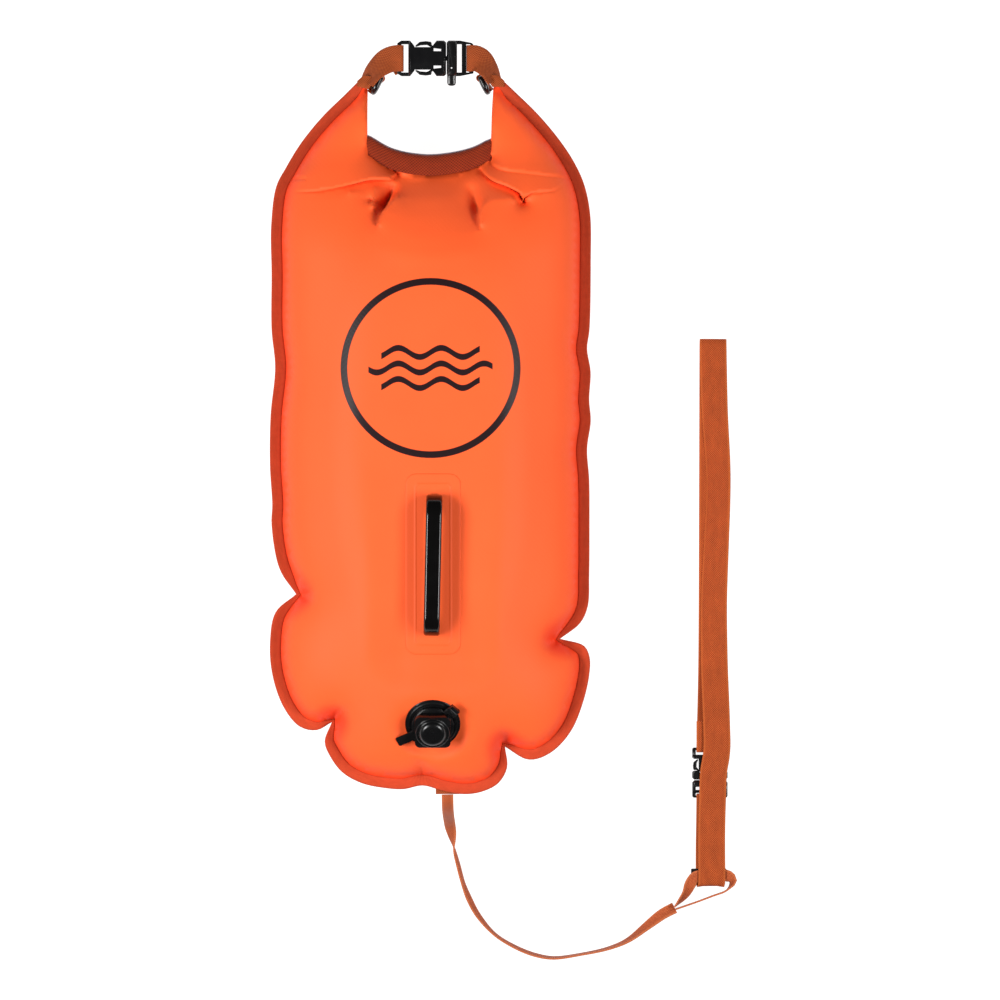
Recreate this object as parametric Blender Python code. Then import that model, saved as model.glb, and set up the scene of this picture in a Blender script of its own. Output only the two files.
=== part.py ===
"""Open water swim buoy lying on its back: an inflated roll-top bag with its
closure, grip handle, inflation valve, leash and waist belt. Metres, +Z up.
X runs across the bag, Y from the bottom seam to the closure buckle."""
import math

import bmesh
import bpy
import numpy as np
from mathutils import Matrix, Vector
from mathutils.bvhtree import BVHTree
from mathutils.geometry import delaunay_2d_cdt

for thing in list(bpy.data.objects):
    bpy.data.objects.remove(thing, do_unlink=True)

# Shared clearances and material thicknesses
SEAT_GAP = 0.0003
RUNNING_GAP = 0.0004
FABRIC = 0.0009
WEBBING = 0.0015
OVERRUN = 0.002

# Bag
BAG_WIDTH = 0.301
BAG_LENGTH = 0.675
BUCKLE_REACH = 0.033
SEAM_HEIGHT = 0.074
FRONT_RISE = 0.072
BACK_RISE = 0.079
SEAM_DROP = 0.030
DROP_START_SHARE = 0.7467
DROP_END_SHARE = 1.0207
OUTLINE_STEP = 0.015
PANEL_STEP = 0.021

# Edge binding
BINDING_WIDTH = 0.010
BINDING_TAPE = 0.001
BINDING_GAP = 0.0006
END_TAPE_SHARE = 0.5
FLANGE_MARGIN = 0.0015
PLAIN_FLANGE = 0.003
BINDING_TAPER = 0.030

# Rolled mouth
ROLL_THICKNESS = 0.0155
ROLL_HEIGHT = 0.040
ROLL_CORNER = 0.005
ROLL_CLEARANCE = 0.0004
COVER_ARM = 0.013

# Side-release buckles, measured from the joint line between the halves
BUCKLE_WIDTH = 0.0334
BUCKLE_THICKNESS = 0.011
BUCKLE_EDGE = 0.0018
FRAME_THICKNESS = 0.0044
RAIL_WIDTH = 0.0034
FEMALE_BODY = 0.0358
FEMALE_SLOT = 0.0064
FEMALE_BAR = 0.004
MALE_BODY = 0.010
MALE_OPEN_SLOT = 0.0044
MALE_MID_BAR = 0.0043
MALE_STRAP_SLOT = 0.0038
MALE_BAR = 0.003
CAVITY_DEPTH = 0.030
CAVITY_HALF_WIDTH = 0.0125
CAVITY_HEIGHT = 0.0066
WINDOW_NEAR = 0.013
WINDOW_INNER = 0.0105
VENT_NEAR = 0.005
VENT_FAR = 0.012
VENT_INNER = 0.0067
PRONG_LENGTH = 0.027
PRONG_WIDTH = 0.0044
PRONG_HEIGHT = 0.005
ARM_LENGTH = 0.0289
ARM_OUTER = 0.0162
ARM_HEIGHT = 0.0058
ARM_PIVOT = 0.010
BUCKLE_X = 0.0149
MOUTHPIECE_WIDTH = 0.0085
MOUTHPIECE_REACH = 0.0092
MOUTHPIECE_HEIGHT = 0.008
MOUTHPIECE_EDGE = 0.0028
AIR_SLOT_WIDTH = 0.005
AIR_SLOT_HEIGHT = 0.0012
AIR_SLOT_DEPTH = 0.012
SOUND_HOLE_R = 0.0008
SOUND_HOLE_OUT = 0.009

# Closure straps and rings
STRAP_WIDTH = 0.0248
STRAP_SEAT = 0.0009
STRAP_STEP = 0.0062
RING_ROD_R = 0.002
RING_INNER_WIDTH = 0.014
RING_REACH = 0.0165
RING_CORNER = 0.0012
TAB_WIDTH = 0.013
TAB_ROOT_IN = 0.0017
TAB_ROOT_DROP = 0.0026
RING_IN = 0.0117
RING_UP = 0.011
RING_BULGE_SHARE = 0.7
RING_LEAN = math.radians(1)

# Grip handle
PATCH_WIDTH = 0.052
PATCH_LENGTH = 0.169
PATCH_CORNER = 0.010
PATCH_SHEET = 0.0007
HANDLE_X = 0.0028
HANDLE_FROM_BOTTOM = 0.2155
HANDLE_LENGTH = 0.132
HANDLE_WIDTH = 0.015
HANDLE_BAR = 0.008
HANDLE_HEIGHT = 0.026
HANDLE_BEND = 0.013
HANDLE_CORNER = 0.0032

# Inflation valve, heights from the face of the front panel
VALVE_X = 0.0024
VALVE_FROM_BOTTOM = 0.0673
VALVE_TILT = math.radians(30)
FLANGE_R = 0.0255
FLANGE_STEP_R = 0.0225
FLANGE_SHEET = 0.0012
FLANGE_STEP_RISE = 0.0008
BARREL_R = 0.013
BARREL_DEPTH = 0.017
BARREL_FLOOR = 0.002
COLLAR_R = 0.0195
COLLAR_RISE = 0.003
NECK_R = 0.0115
NECK_RISE = 0.0045
BORE_R = 0.0092
STEM_R = 0.002
GUIDE_R = 0.0024
PORT_R = 0.0018
PORT_RING_R = 0.0055
PORTS = 6
POPPET_R = 0.0102
POPPET_SHEET = 0.0015
SEAL_INNER_R = 0.0032
SEAL_SHEET = 0.0012
KNOB_WIDTH = 0.033
KNOB_DEPTH = 0.027
KNOB_CORNER = 0.005
KNOB_PLATE = 0.0055
KNOB_TOP = 0.003
DOME_R = 0.0095
DOME_RISE = 0.0045
TETHER_SHEET = 0.0013
TAB_ANGLE = math.radians(212)
HINGE_ANGLE = math.radians(38)
TETHER_TAB_REACH = 0.0175
TETHER_TAB_WIDTH = 0.009
HINGE_BLOCK = 0.010
HINGE_BLOCK_RISE = 0.005
KNOB_SWEEP_GAP = 0.0006

# Leash and waist belt
LEASH_WIDTH = 0.011
LEASH_STEP = 0.0176
LOOP_STEP = 0.0077
BELT_STEP = 0.0305
ANCHOR_X = 0.016
ANCHOR_WIDTH = 0.022
ANCHOR_LENGTH = 0.0095
BELT_WIDTH = 0.0254
BELT_BUCKLE_X = 0.2633
BELT_BUCKLE_FROM_BOTTOM = 0.012
BELT_BUCKLE_Z = 0.0058
BELT_BUCKLE_SHARE = 0.66
KEEPER_WIDTH = 0.0335
KEEPER_LENGTH = 0.012
KEEPER_X = 0.26225
KEEPER_FROM_BOTTOM = -0.0778
KEEPER_SIDE = 0.0027
KEEPER_BAR = 0.0016
KEEPER_EDGE = 0.0005
KEEPER_LIFT = 0.0002

# The bag lies along Y with its whole length centred
BOTTOM_Y = -(BAG_LENGTH + BUCKLE_REACH) / 2
HANDLE_Y = BOTTOM_Y + HANDLE_FROM_BOTTOM
VALVE_Y = BOTTOM_Y + VALVE_FROM_BOTTOM
BELT_BUCKLE_Y = BOTTOM_Y + BELT_BUCKLE_FROM_BOTTOM
KEEPER_Y = BOTTOM_Y + KEEPER_FROM_BOTTOM

# Bound edge from the left horn round the bottom to the right horn: shares of
# half the width and of the length; a third value of 1 marks a sharp notch.
BOUND_SHARES = [
    (-0.418, 1), (-0.524, 0.976), (-0.678, 0.942), (-0.811, 0.905), (-0.903, 0.871),
    (-0.962, 0.845), (-0.993, 0.79), (-0.99, 0.724), (-0.99, 0.646), (-0.968, 0.593),
    (-0.996, 0.527), (-1, 0.456), (-0.986, 0.403), (-0.99, 0.374), (-0.94, 0.313),
    (-0.837, 0.278, 1), (-0.965, 0.253), (-1, 0.21), (-0.984, 0.165), (-0.915, 0.121),
    (-0.815, 0.094), (-0.709, 0.089), (-0.615, 0.1, 1), (-0.659, 0.073), (-0.621, 0.051),
    (-0.547, 0.03), (-0.425, 0.015), (-0.265, 0.008), (-0.166, 0.007), (-0.047, 0.012),
    (0.072, 0.005), (0.206, 0), (0.315, 0.003), (0.422, 0.015), (0.478, 0.037),
    (0.465, 0.066, 1), (0.593, 0.049), (0.665, 0.049), (0.771, 0.061), (0.88, 0.089),
    (0.952, 0.128), (0.99, 0.165), (0.993, 0.19), (0.959, 0.206), (0.809, 0.216, 1),
    (0.934, 0.238), (0.981, 0.261), (0.99, 0.306), (0.992, 0.371), (0.99, 0.437),
    (0.977, 0.48), (1, 0.519), (0.99, 0.548), (0.999, 0.587), (0.977, 0.619),
    (0.992, 0.646), (1, 0.74), (0.996, 0.807), (0.959, 0.848), (0.899, 0.878),
    (0.809, 0.909), (0.671, 0.946), (0.521, 0.979), (0.422, 1),
]
# Edge round the hand hole, from the right horn to the left one
MOUTH_SHARES = [
    (0.39, 0.983), (0.381, 0.949), (0.377, 0.917), (0.369, 0.883, 1), (0.264, 0.871),
    (0.112, 0.863), (-0.041, 0.861), (-0.234, 0.869), (-0.387, 0.888, 1),
    (-0.393, 0.917), (-0.393, 0.949), (-0.39, 0.98),
]
# Latch arm seen from above: shares of its length and of its outer half width
ARM_SHARES = [
    (0, 0.72), (0.28, 0.745), (0.46, 0.745), (0.48, 0.96), (0.66, 1), (0.86, 0.96),
    (0.99, 0.76), (1, 0.66), (0.83, 0.76), (0.62, 0.78), (0.44, 0.6), (0.2, 0.55),
    (0, 0.55),
]


def material(name, colour, roughness, metallic=0.0):
    made = bpy.data.materials.new(name)
    made.use_nodes = True
    shader = made.node_tree.nodes["Principled BSDF"]
    shader.inputs["Base Color"].default_value = (*colour, 1.0)
    shader.inputs["Roughness"].default_value = roughness
    shader.inputs["Metallic"].default_value = metallic
    return made


ORANGE = ((1.0, 0.165, 0.045), 0.5)
RUST = ((0.48, 0.09, 0.03), 0.8)
TAN = ((0.52, 0.13, 0.045), 0.8)
BLACK = ((0.012, 0.012, 0.013), 0.3)
RUBBER = ((0.02, 0.02, 0.02), 0.6)


def finish(name, bm, look, smooth=None, recalc=True):
    """Turns a bmesh into a named object with its own material."""
    if recalc:
        bmesh.ops.recalc_face_normals(bm, faces=bm.faces)
    mesh = bpy.data.meshes.new(name)
    bm.to_mesh(mesh)
    bm.free()
    if smooth is not None:
        mesh.shade_smooth()
        mesh.set_sharp_from_angle(angle=math.radians(smooth))
    mesh.materials.append(material(name, *look))
    made = bpy.data.objects.new(name, mesh)
    bpy.context.collection.objects.link(made)
    return made


def empty(name, place, turn=None):
    made = bpy.data.objects.new(name, None)
    made.matrix_world = Matrix.Translation(place) @ (turn or Matrix()).to_4x4()
    bpy.context.collection.objects.link(made)
    return made


def seat(piece, carrier, place=(0, 0, 0)):
    """Parents a piece to an empty, at a place in the empty's own frame."""
    piece.parent = carrier
    piece.location = place
    return piece


def smooth_line(points, step):
    """Smooth line through points, with even tangents however they are
    spaced; a point marked in the last column is a sharp corner. Returns rows
    without the mark."""
    rows = [np.array(p[:-1], float) for p in points]
    sharp = [bool(p[-1]) for p in points]

    def tangent(a, b, c):
        """Slope at b of the line a, b, c, by the root of each chord."""
        before = math.sqrt(np.linalg.norm((b - a)[:3]))
        after = math.sqrt(np.linalg.norm((c - b)[:3]))
        return (b - a) / before - (c - a) / (before + after) + (c - b) / after

    line = []
    for i in range(len(rows) - 1):
        b, c = rows[i], rows[i + 1]
        chord = np.linalg.norm((c - b)[:3])
        first, last = c - b, c - b
        if i > 0 and not sharp[i]:
            first = tangent(rows[i - 1], b, c) * math.sqrt(chord)
        if i + 2 < len(rows) and not sharp[i + 1]:
            last = tangent(b, c, rows[i + 2]) * math.sqrt(chord)
        count = max(1, round(chord / step))
        for k in range(count):
            t = k / count
            line.append((2 * t**3 - 3 * t**2 + 1) * b + (t**3 - 2 * t**2 + t) * first
                        + (3 * t**2 - 2 * t**3) * c + (t**3 - t**2) * last)
    line.append(rows[-1])
    return np.array(line)


def share_line(shares):
    rows = [(p[0] * BAG_WIDTH / 2, BOTTOM_Y + p[1] * BAG_LENGTH, len(p) > 2) for p in shares]
    return smooth_line(rows, OUTLINE_STEP)


def seam_z(y):
    """Height of the seam: level along the bag, lower towards the buckle."""
    along = (y - BOTTOM_Y) / BAG_LENGTH
    t = (along - DROP_START_SHARE) / (DROP_END_SHARE - DROP_START_SHARE)
    t = min(1.0, max(0.0, t))
    return SEAM_HEIGHT - SEAM_DROP * t * t * (3 - 2 * t)


def sweep(stations, section, closed_section=True):
    """Carries a section along stations of (place, side, up), with end caps."""
    bm = bmesh.new()
    rings = []
    for place, side, up in stations:
        ring = [bm.verts.new(Vector(place) + Vector(side) * a + Vector(up) * b)
                for a, b in section]
        rings.append(ring)
    size = len(section)
    for first, second in zip(rings, rings[1:]):
        for k in range(size):
            n = (k + 1) % size
            bm.faces.new((first[k], first[n], second[n], second[k]))
    bm.faces.new(rings[0])
    bm.faces.new(list(reversed(rings[-1])))
    return bm


def ribbon(rows, width, thickness=WEBBING):
    """Flat webbing along rows of (x, y, z, wx, wy, wz): place and the
    direction of its width."""
    stations = []
    for i, row in enumerate(rows):
        ahead = Vector(rows[min(i + 1, len(rows) - 1)][:3])
        behind = Vector(rows[max(i - 1, 0)][:3])
        along = (ahead - behind).normalized()
        wide = Vector(row[3:6]).normalized()
        stations.append((row[:3], wide, along.cross(wide).normalized()))
    half, deep = width / 2, thickness / 2
    return sweep(stations, [(-half, -deep), (half, -deep), (half, deep), (-half, deep)])


def box(lo, hi, edge=0.0, segments=1):
    bm = bmesh.new()
    bmesh.ops.create_cube(bm, size=1.0)
    for v in bm.verts:
        v.co = Vector([l + (c + 0.5) * (h - l) for c, l, h in zip(v.co, lo, hi)])
    if edge:
        bmesh.ops.bevel(bm, geom=bm.edges[:], offset=edge, segments=segments,
                        affect="EDGES", profile=0.5)
    return bm


def lathe(profile, steps):
    """Turns a closed profile of (radius, height) about Z."""
    bm = bmesh.new()
    rings = []
    for r, z in profile:
        if r == 0:
            rings.append([bm.verts.new((0, 0, z))])
            continue
        rings.append([bm.verts.new((r * math.cos(2 * math.pi * k / steps),
                                    r * math.sin(2 * math.pi * k / steps), z))
                      for k in range(steps)])
    for i, first in enumerate(rings):
        second = rings[(i + 1) % len(rings)]
        for k in range(steps):
            n = (k + 1) % steps
            corners = [first[k % len(first)], first[n % len(first)],
                       second[n % len(second)], second[k % len(second)]]
            unique = list(dict.fromkeys(corners))
            if len(unique) > 2:
                bm.faces.new(unique)
    return bm


def plate(outline, low, high):
    """Extrudes a plan outline between two heights."""
    bm = bmesh.new()
    bottom = [bm.verts.new((x, y, low)) for x, y in outline]
    top = [bm.verts.new((x, y, high)) for x, y in outline]
    bm.faces.new(bottom)
    bm.faces.new(top)
    for k in range(len(outline)):
        n = (k + 1) % len(outline)
        bm.faces.new((bottom[k], bottom[n], top[n], top[k]))
    return bm


def rounded(width, length, corner, steps, x=0.0, y=0.0):
    """Plan outline of a rectangle with rounded corners."""
    points = []
    for sx, sy, start in ((1, 1, 0), (-1, 1, 90), (-1, -1, 180), (1, -1, 270)):
        for k in range(steps + 1):
            a = math.radians(start + 90 * k / steps)
            points.append((x + sx * (width / 2 - corner) + corner * math.cos(a),
                           y + sy * (length / 2 - corner) + corner * math.sin(a)))
    return points


def tool(name, bm, carrier=None):
    """A cutter or an added lump: hidden, shown as wire, never a part."""
    bmesh.ops.recalc_face_normals(bm, faces=bm.faces)
    mesh = bpy.data.meshes.new(name)
    bm.to_mesh(mesh)
    bm.free()
    made = bpy.data.objects.new(name, mesh)
    made.hide_render = True
    made.display_type = "WIRE"
    bpy.context.collection.objects.link(made)
    if carrier:
        made.parent = carrier
    return made


def combine(piece, other, operation):
    step = piece.modifiers.new(operation.lower(), "BOOLEAN")
    step.operation = operation
    step.solver = "EXACT"
    step.object = other


# The bag's outline and its insets
bound = share_line(BOUND_SHARES)
mouth = share_line(MOUTH_SHARES)
outline = np.vstack([bound, mouth])
bound_count = len(bound)


def inward(loop):
    """Unit inward directions of a closed loop that runs anticlockwise."""
    ahead = np.roll(loop, -1, axis=0) - loop
    ahead /= np.linalg.norm(ahead, axis=1)[:, None]
    left = np.stack([-ahead[:, 1], ahead[:, 0]], axis=1)
    both = left + np.roll(left, 1, axis=0)
    return both / np.linalg.norm(both, axis=1)[:, None]


inner_way = inward(outline)
run = np.concatenate([[0], np.cumsum(np.linalg.norm(np.diff(bound, axis=0), axis=1))])
to_end = np.minimum(run, run[-1] - run)
tape_share = END_TAPE_SHARE + (1 - END_TAPE_SHARE) * np.clip(to_end / BINDING_TAPER, 0, 1)
tape_width = BINDING_WIDTH * tape_share
panel_inset = np.zeros(len(outline))
panel_inset[:bound_count] = BINDING_TAPE + BINDING_GAP
flange_inset = np.full(len(outline), PLAIN_FLANGE)
flange_inset[:bound_count] = tape_width + FLANGE_MARGIN
panel_edge = outline + inner_way * panel_inset[:, None]
flange_edge = outline + inner_way * flange_inset[:, None]


def inside(loop, x, y):
    """Whether a point lies in a closed loop."""
    hit = False
    for (x1, y1), (x2, y2) in zip(loop, np.roll(loop, -1, axis=0)):
        if (y1 > y) != (y2 > y) and x < x1 + (y - y1) * (x2 - x1) / (y2 - y1):
            hit = not hit
    return hit


def ellipse(radius, steps):
    """A valve circle seen from above, shortened along Y by the tilt."""
    turns = [2 * math.pi * k / steps for k in range(steps)]
    return np.array([(VALVE_X + radius * math.cos(a),
                      VALVE_Y + radius * math.cos(VALVE_TILT) * math.sin(a)) for a in turns])


def triangulate_panel():
    """Plan triangles of the bag, with the patch and the valve as loops."""
    patch = np.array(rounded(PATCH_WIDTH, PATCH_LENGTH, PATCH_CORNER, 2, HANDLE_X, HANDLE_Y))
    long_edge = np.arange(1, 8) / 8 * (PATCH_LENGTH - 2 * PATCH_CORNER)
    start = HANDLE_Y - PATCH_LENGTH / 2 + PATCH_CORNER
    side = [(HANDLE_X + PATCH_WIDTH / 2, start + d) for d in long_edge]
    far = [(HANDLE_X - PATCH_WIDTH / 2, start + d) for d in reversed(long_edge)]
    patch = np.array(side + [tuple(p) for p in patch[:6]] + far + [tuple(p) for p in patch[6:]])
    disc = ellipse(FLANGE_R + RUNNING_GAP, 20)
    hole = ellipse(BARREL_R + 2 * SEAT_GAP, 20)
    loops = [panel_edge, flange_edge, patch, disc, hole]
    points = np.vstack(loops)
    edges = []
    start = 0
    for loop in loops:
        count = len(loop)
        edges += [(start + k, start + (k + 1) % count) for k in range(count)]
        start += count
    grid = []
    row = 0
    y = BOTTOM_Y
    while y < BOTTOM_Y + BAG_LENGTH:
        x = -BAG_WIDTH / 2 + (row % 2) * PANEL_STEP / 2
        while x < BAG_WIDTH / 2:
            near = np.min(np.hypot(points[:, 0] - x, points[:, 1] - y))
            if near > 0.5 * PANEL_STEP and inside(flange_edge, x, y):
                if not inside(disc, x, y):
                    grid.append((x, y))
            x += PANEL_STEP
        y += PANEL_STEP * math.sqrt(3) / 2
        row += 1
    pinned = len(panel_edge) + len(flange_edge)
    points = np.vstack([points, grid])
    made = delaunay_2d_cdt([Vector(p) for p in points], edges, [], 0, 1e-7)
    verts = np.array([(v.x, v.y) for v in made[0]])
    fixed = np.array([min(ids, default=pinned) < pinned for ids in made[3]])
    faces, patch_faces, hole_faces = [], set(), set()
    for face in made[2]:
        x, y = verts[list(face)].mean(axis=0)
        if not inside(panel_edge, x, y):
            continue
        if inside(hole, x, y):
            hole_faces.add(len(faces))
        if inside(patch, x, y):
            patch_faces.add(len(faces))
        faces.append(tuple(face))
    return verts, faces, fixed, patch_faces, hole_faces


def pillow(verts, faces, fixed):
    """Height of an inflated skin pinned at its edge, from 0 to 1: the root
    of the height that a stretched film takes under even pressure."""
    count = len(verts)
    pull = np.zeros((count, count))
    load = np.zeros(count)
    for face in faces:
        for k in range(3):
            i, j, o = face[k], face[(k + 1) % 3], face[(k + 2) % 3]
            u, v = verts[i] - verts[o], verts[j] - verts[o]
            area = abs(u[0] * v[1] - u[1] * v[0])
            weight = max(0.0, (u @ v) / area) / 2
            pull[i, j] -= weight
            pull[j, i] -= weight
            pull[i, i] += weight
            pull[j, j] += weight
            load[i] += area / 6
    free = np.where(~fixed & (pull.diagonal() > 0))[0]
    height = np.zeros(count)
    height[free] = np.linalg.solve(pull[np.ix_(free, free)], load[free])
    return np.sqrt(np.maximum(height, 0) / height.max())


verts, faces, fixed, patch_faces, hole_faces = triangulate_panel()
swell = pillow(verts, faces, fixed)
seam = np.array([seam_z(y) for y in verts[:, 1]])
skin = SEAT_GAP / 2 + FABRIC
front_z = seam + skin + FRONT_RISE * swell
back_z = np.maximum(0.0, seam - skin - BACK_RISE * swell)

# The stiff valve flange holds its round of fabric flat at the valve's tilt
lean = math.tan(VALVE_TILT)
away = np.hypot(verts[:, 0] - VALVE_X, (verts[:, 1] - VALVE_Y) / math.cos(VALVE_TILT))
on_disc = away < FLANGE_R + 2 * RUNNING_GAP
disc_z = float(np.mean(front_z[on_disc]))
front_z[on_disc] = disc_z + (verts[on_disc, 1] - VALVE_Y) * lean


def skin_mesh(z, keep, flip):
    bm = bmesh.new()
    used = sorted({i for f in keep for i in faces[f]})
    made = {i: bm.verts.new((verts[i][0], verts[i][1], z[i])) for i in used}
    for f in keep:
        corners = [made[i] for i in faces[f]]
        bm.faces.new(reversed(corners) if flip else corners)
    bm.normal_update()
    return bm


def thicken(piece, depth, outward=False):
    wall = piece.modifiers.new("wall", "SOLIDIFY")
    wall.thickness = depth
    wall.offset = 1.0 if outward else -1.0


everything = set(range(len(faces)))
first, second, third = (verts[i] for i in faces[0])
flip = float(np.cross(second - first, third - first)) < 0
front_panel = finish("front_panel", skin_mesh(front_z, everything - hole_faces, flip),
                     ORANGE, 40, recalc=False)
thicken(front_panel, FABRIC)
back_panel = finish("back_panel", skin_mesh(back_z, everything, not flip),
                    ORANGE, 40, recalc=False)
thicken(back_panel, FABRIC)


def edge_binding():
    """Tape folded over the seam, open on the bag's side."""
    bm = bmesh.new()
    inside_half = skin + BINDING_GAP
    outside_half = inside_half + BINDING_TAPE
    rings = []
    for i in range(bound_count):
        depths = [(0, outside_half), (0, -outside_half), (tape_width[i], -outside_half),
                  (tape_width[i], -inside_half), (BINDING_TAPE, -inside_half),
                  (BINDING_TAPE, inside_half), (tape_width[i], inside_half),
                  (tape_width[i], outside_half)]
        ring = []
        for depth, rise in depths:
            x, y = outline[i] + inner_way[i] * depth
            ring.append(bm.verts.new((x, y, seam_z(y) + rise)))
        rings.append(ring)
    for first, second in zip(rings, rings[1:]):
        for k in range(8):
            n = (k + 1) % 8
            bm.faces.new((first[k], first[n], second[n], second[k]))
    bm.faces.new(rings[0])
    bm.faces.new(list(reversed(rings[-1])))
    return finish("edge_binding", bm, RUST, 40)


edge_binding()


def rolled_mouth():
    corners = [i for i, p in enumerate(mouth) if any(
        len(s) > 2 and abs(s[0] * BAG_WIDTH / 2 - p[0]) < SEAT_GAP
        and abs(s[1] * BAG_LENGTH + BOTTOM_Y - p[1]) < SEAT_GAP for s in MOUTH_SHARES)]
    rows = mouth[corners[0]:corners[-1] + 1]
    right, left = rows[0][0] - ROLL_CLEARANCE, rows[-1][0] + ROLL_CLEARANCE
    stations = [((min(max(x, left), right), y, seam_z(y)), (0, 1, 0), (0, 0, 1))
                for x, y in rows]
    near, far = ROLL_CLEARANCE, ROLL_CLEARANCE + ROLL_THICKNESS
    half, cut = ROLL_HEIGHT / 2, ROLL_CORNER
    core = [(near, cut - half), (near + cut, -half), (far - cut, -half), (far, cut - half),
            (far, half - cut), (far - cut, half), (near + cut, half), (near, half - cut)]
    finish("mouth_roll", sweep(stations, core), ORANGE, 50)
    inner, outer = SEAT_GAP, SEAT_GAP + WEBBING
    arm = far - COVER_ARM
    cover = [(arm, half + inner), (arm, half + outer), (far - cut + inner, half + outer),
             (far + outer, half - cut + inner), (far + outer, cut - half - inner),
             (far - cut + inner, -half - outer), (arm, -half - outer), (arm, -half - inner),
             (far - cut, -half - inner), (far + inner, cut - half),
             (far + inner, half - cut), (far - cut, half + inner)]
    finish("mouth_webbing", sweep(stations, cover), RUST, 50)


rolled_mouth()


def buckle_half(name, carrier, way, body, slots):
    """One buckle half along X from the joint line, way +1 or -1. Slots are
    (start, length) from the joint line."""
    wide, thick, rail = BUCKLE_WIDTH / 2, BUCKLE_THICKNESS / 2, FRAME_THICKNESS / 2

    def span(start, end):
        return sorted((way * start, way * end))

    x0, x1 = span(SEAT_GAP, body)
    piece = finish(name, box((x0, -wide, -thick), (x1, wide, thick), BUCKLE_EDGE), BLACK, 30)
    seat(piece, carrier)
    x0, x1 = span(body - OVERRUN, slots[-1][0] + slots[-1][1] + slots[-1][2])
    frame = tool(name + "_frame", box((x0, -wide, -rail), (x1, wide, rail)), carrier)
    combine(piece, frame, "UNION")
    for k, (start, length, _) in enumerate(slots):
        x0, x1 = span(start, start + length)
        reach = wide - RAIL_WIDTH
        cutter = tool(f"{name}_slot_{k}", box((x0, -reach, -thick), (x1, reach, thick)), carrier)
        combine(piece, cutter, "DIFFERENCE")
    return piece


def latch_arm(name, carrier, side, run_share):
    """A latch arm whose origin is at its root, on its swing axis."""
    length = ARM_LENGTH * run_share
    points = [(-SEAT_GAP - sx * length, side * (sy * ARM_OUTER - ARM_PIVOT))
              for sx, sy in ARM_SHARES]
    arm = finish(name, plate(points, -ARM_HEIGHT / 2, ARM_HEIGHT / 2), BLACK, 30)
    return seat(arm, carrier, (0, side * ARM_PIVOT, 0))


def female_half(name, carrier, run_share):
    body = FEMALE_BODY * run_share
    slots = [(body, FEMALE_SLOT * run_share, FEMALE_BAR * run_share)]
    piece = buckle_half(name, carrier, -1, body, slots)
    wide, thick = BUCKLE_WIDTH / 2 + OVERRUN, BUCKLE_THICKNESS / 2 + OVERRUN
    deep, near = CAVITY_DEPTH * run_share, WINDOW_NEAR * run_share
    vent_far, vent_near = VENT_FAR * run_share, VENT_NEAR * run_share
    cuts = [("cavity", (-deep, -CAVITY_HALF_WIDTH, -CAVITY_HEIGHT / 2),
             (OVERRUN, CAVITY_HALF_WIDTH, CAVITY_HEIGHT / 2))]
    for tag, side in (("a", 1), ("b", -1)):
        low, high = sorted((side * WINDOW_INNER, side * wide))
        cuts.append(("window_" + tag, (-deep, low, -thick), (-near, high, thick)))
        low, high = sorted((side * VENT_INNER, side * WINDOW_INNER))
        cuts.append(("vent_" + tag, (-vent_far, low, -thick), (-vent_near, high, thick)))
    for tag, lo, hi in cuts:
        combine(piece, tool(f"{name}_{tag}", box(lo, hi), carrier), "DIFFERENCE")


def male_half(name, carrier, whistle, run_share):
    first = MALE_BODY * run_share
    second = first + (MALE_OPEN_SLOT + MALE_MID_BAR) * run_share
    slots = [(first, MALE_OPEN_SLOT * run_share, MALE_MID_BAR * run_share),
             (second, MALE_STRAP_SLOT * run_share, MALE_BAR * run_share)]
    piece = buckle_half(name, carrier, 1, first, slots)
    lo = (-PRONG_LENGTH * run_share, -PRONG_WIDTH / 2, -PRONG_HEIGHT / 2)
    hi = (OVERRUN, PRONG_WIDTH / 2, PRONG_HEIGHT / 2)
    combine(piece, tool(name + "_prong", box(lo, hi), carrier), "UNION")
    if not whistle:
        return
    edge = -BUCKLE_WIDTH / 2
    x0 = SEAT_GAP * 2
    x1 = x0 + MOUTHPIECE_WIDTH
    tip = edge - MOUTHPIECE_REACH
    lo = (x0, tip, -MOUTHPIECE_HEIGHT / 2)
    hi = (x1, edge + MOUTHPIECE_REACH, MOUTHPIECE_HEIGHT / 2)
    stub = tool(name + "_mouthpiece", box(lo, hi, MOUTHPIECE_EDGE, 2), carrier)
    combine(piece, stub, "UNION")
    mid = (x0 + x1) / 2
    lo = (mid - AIR_SLOT_WIDTH / 2, tip - OVERRUN, -AIR_SLOT_HEIGHT / 2)
    hi = (mid + AIR_SLOT_WIDTH / 2, tip + AIR_SLOT_DEPTH, AIR_SLOT_HEIGHT / 2)
    combine(piece, tool(name + "_air_slot", box(lo, hi), carrier), "DIFFERENCE")
    ring = [(mid + SOUND_HOLE_R * math.cos(math.radians(a)),
             -SOUND_HOLE_OUT + SOUND_HOLE_R * math.sin(math.radians(a))) for a in range(0, 360, 45)]
    drill = tool(name + "_sound_hole", plate(ring, -BUCKLE_THICKNESS, BUCKLE_THICKNESS), carrier)
    combine(piece, drill, "DIFFERENCE")


def buckle(prefix, place, turn, whistle, run_share):
    carrier = empty(prefix + "_place", place, Matrix.Rotation(turn, 4, "Z"))
    female_half(prefix + "_female", carrier, run_share)
    male_half(prefix + "_male", carrier, whistle, run_share)
    latch_arm(prefix + "_arm_upper", carrier, 1, run_share)
    latch_arm(prefix + "_arm_lower", carrier, -1, run_share)


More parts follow.
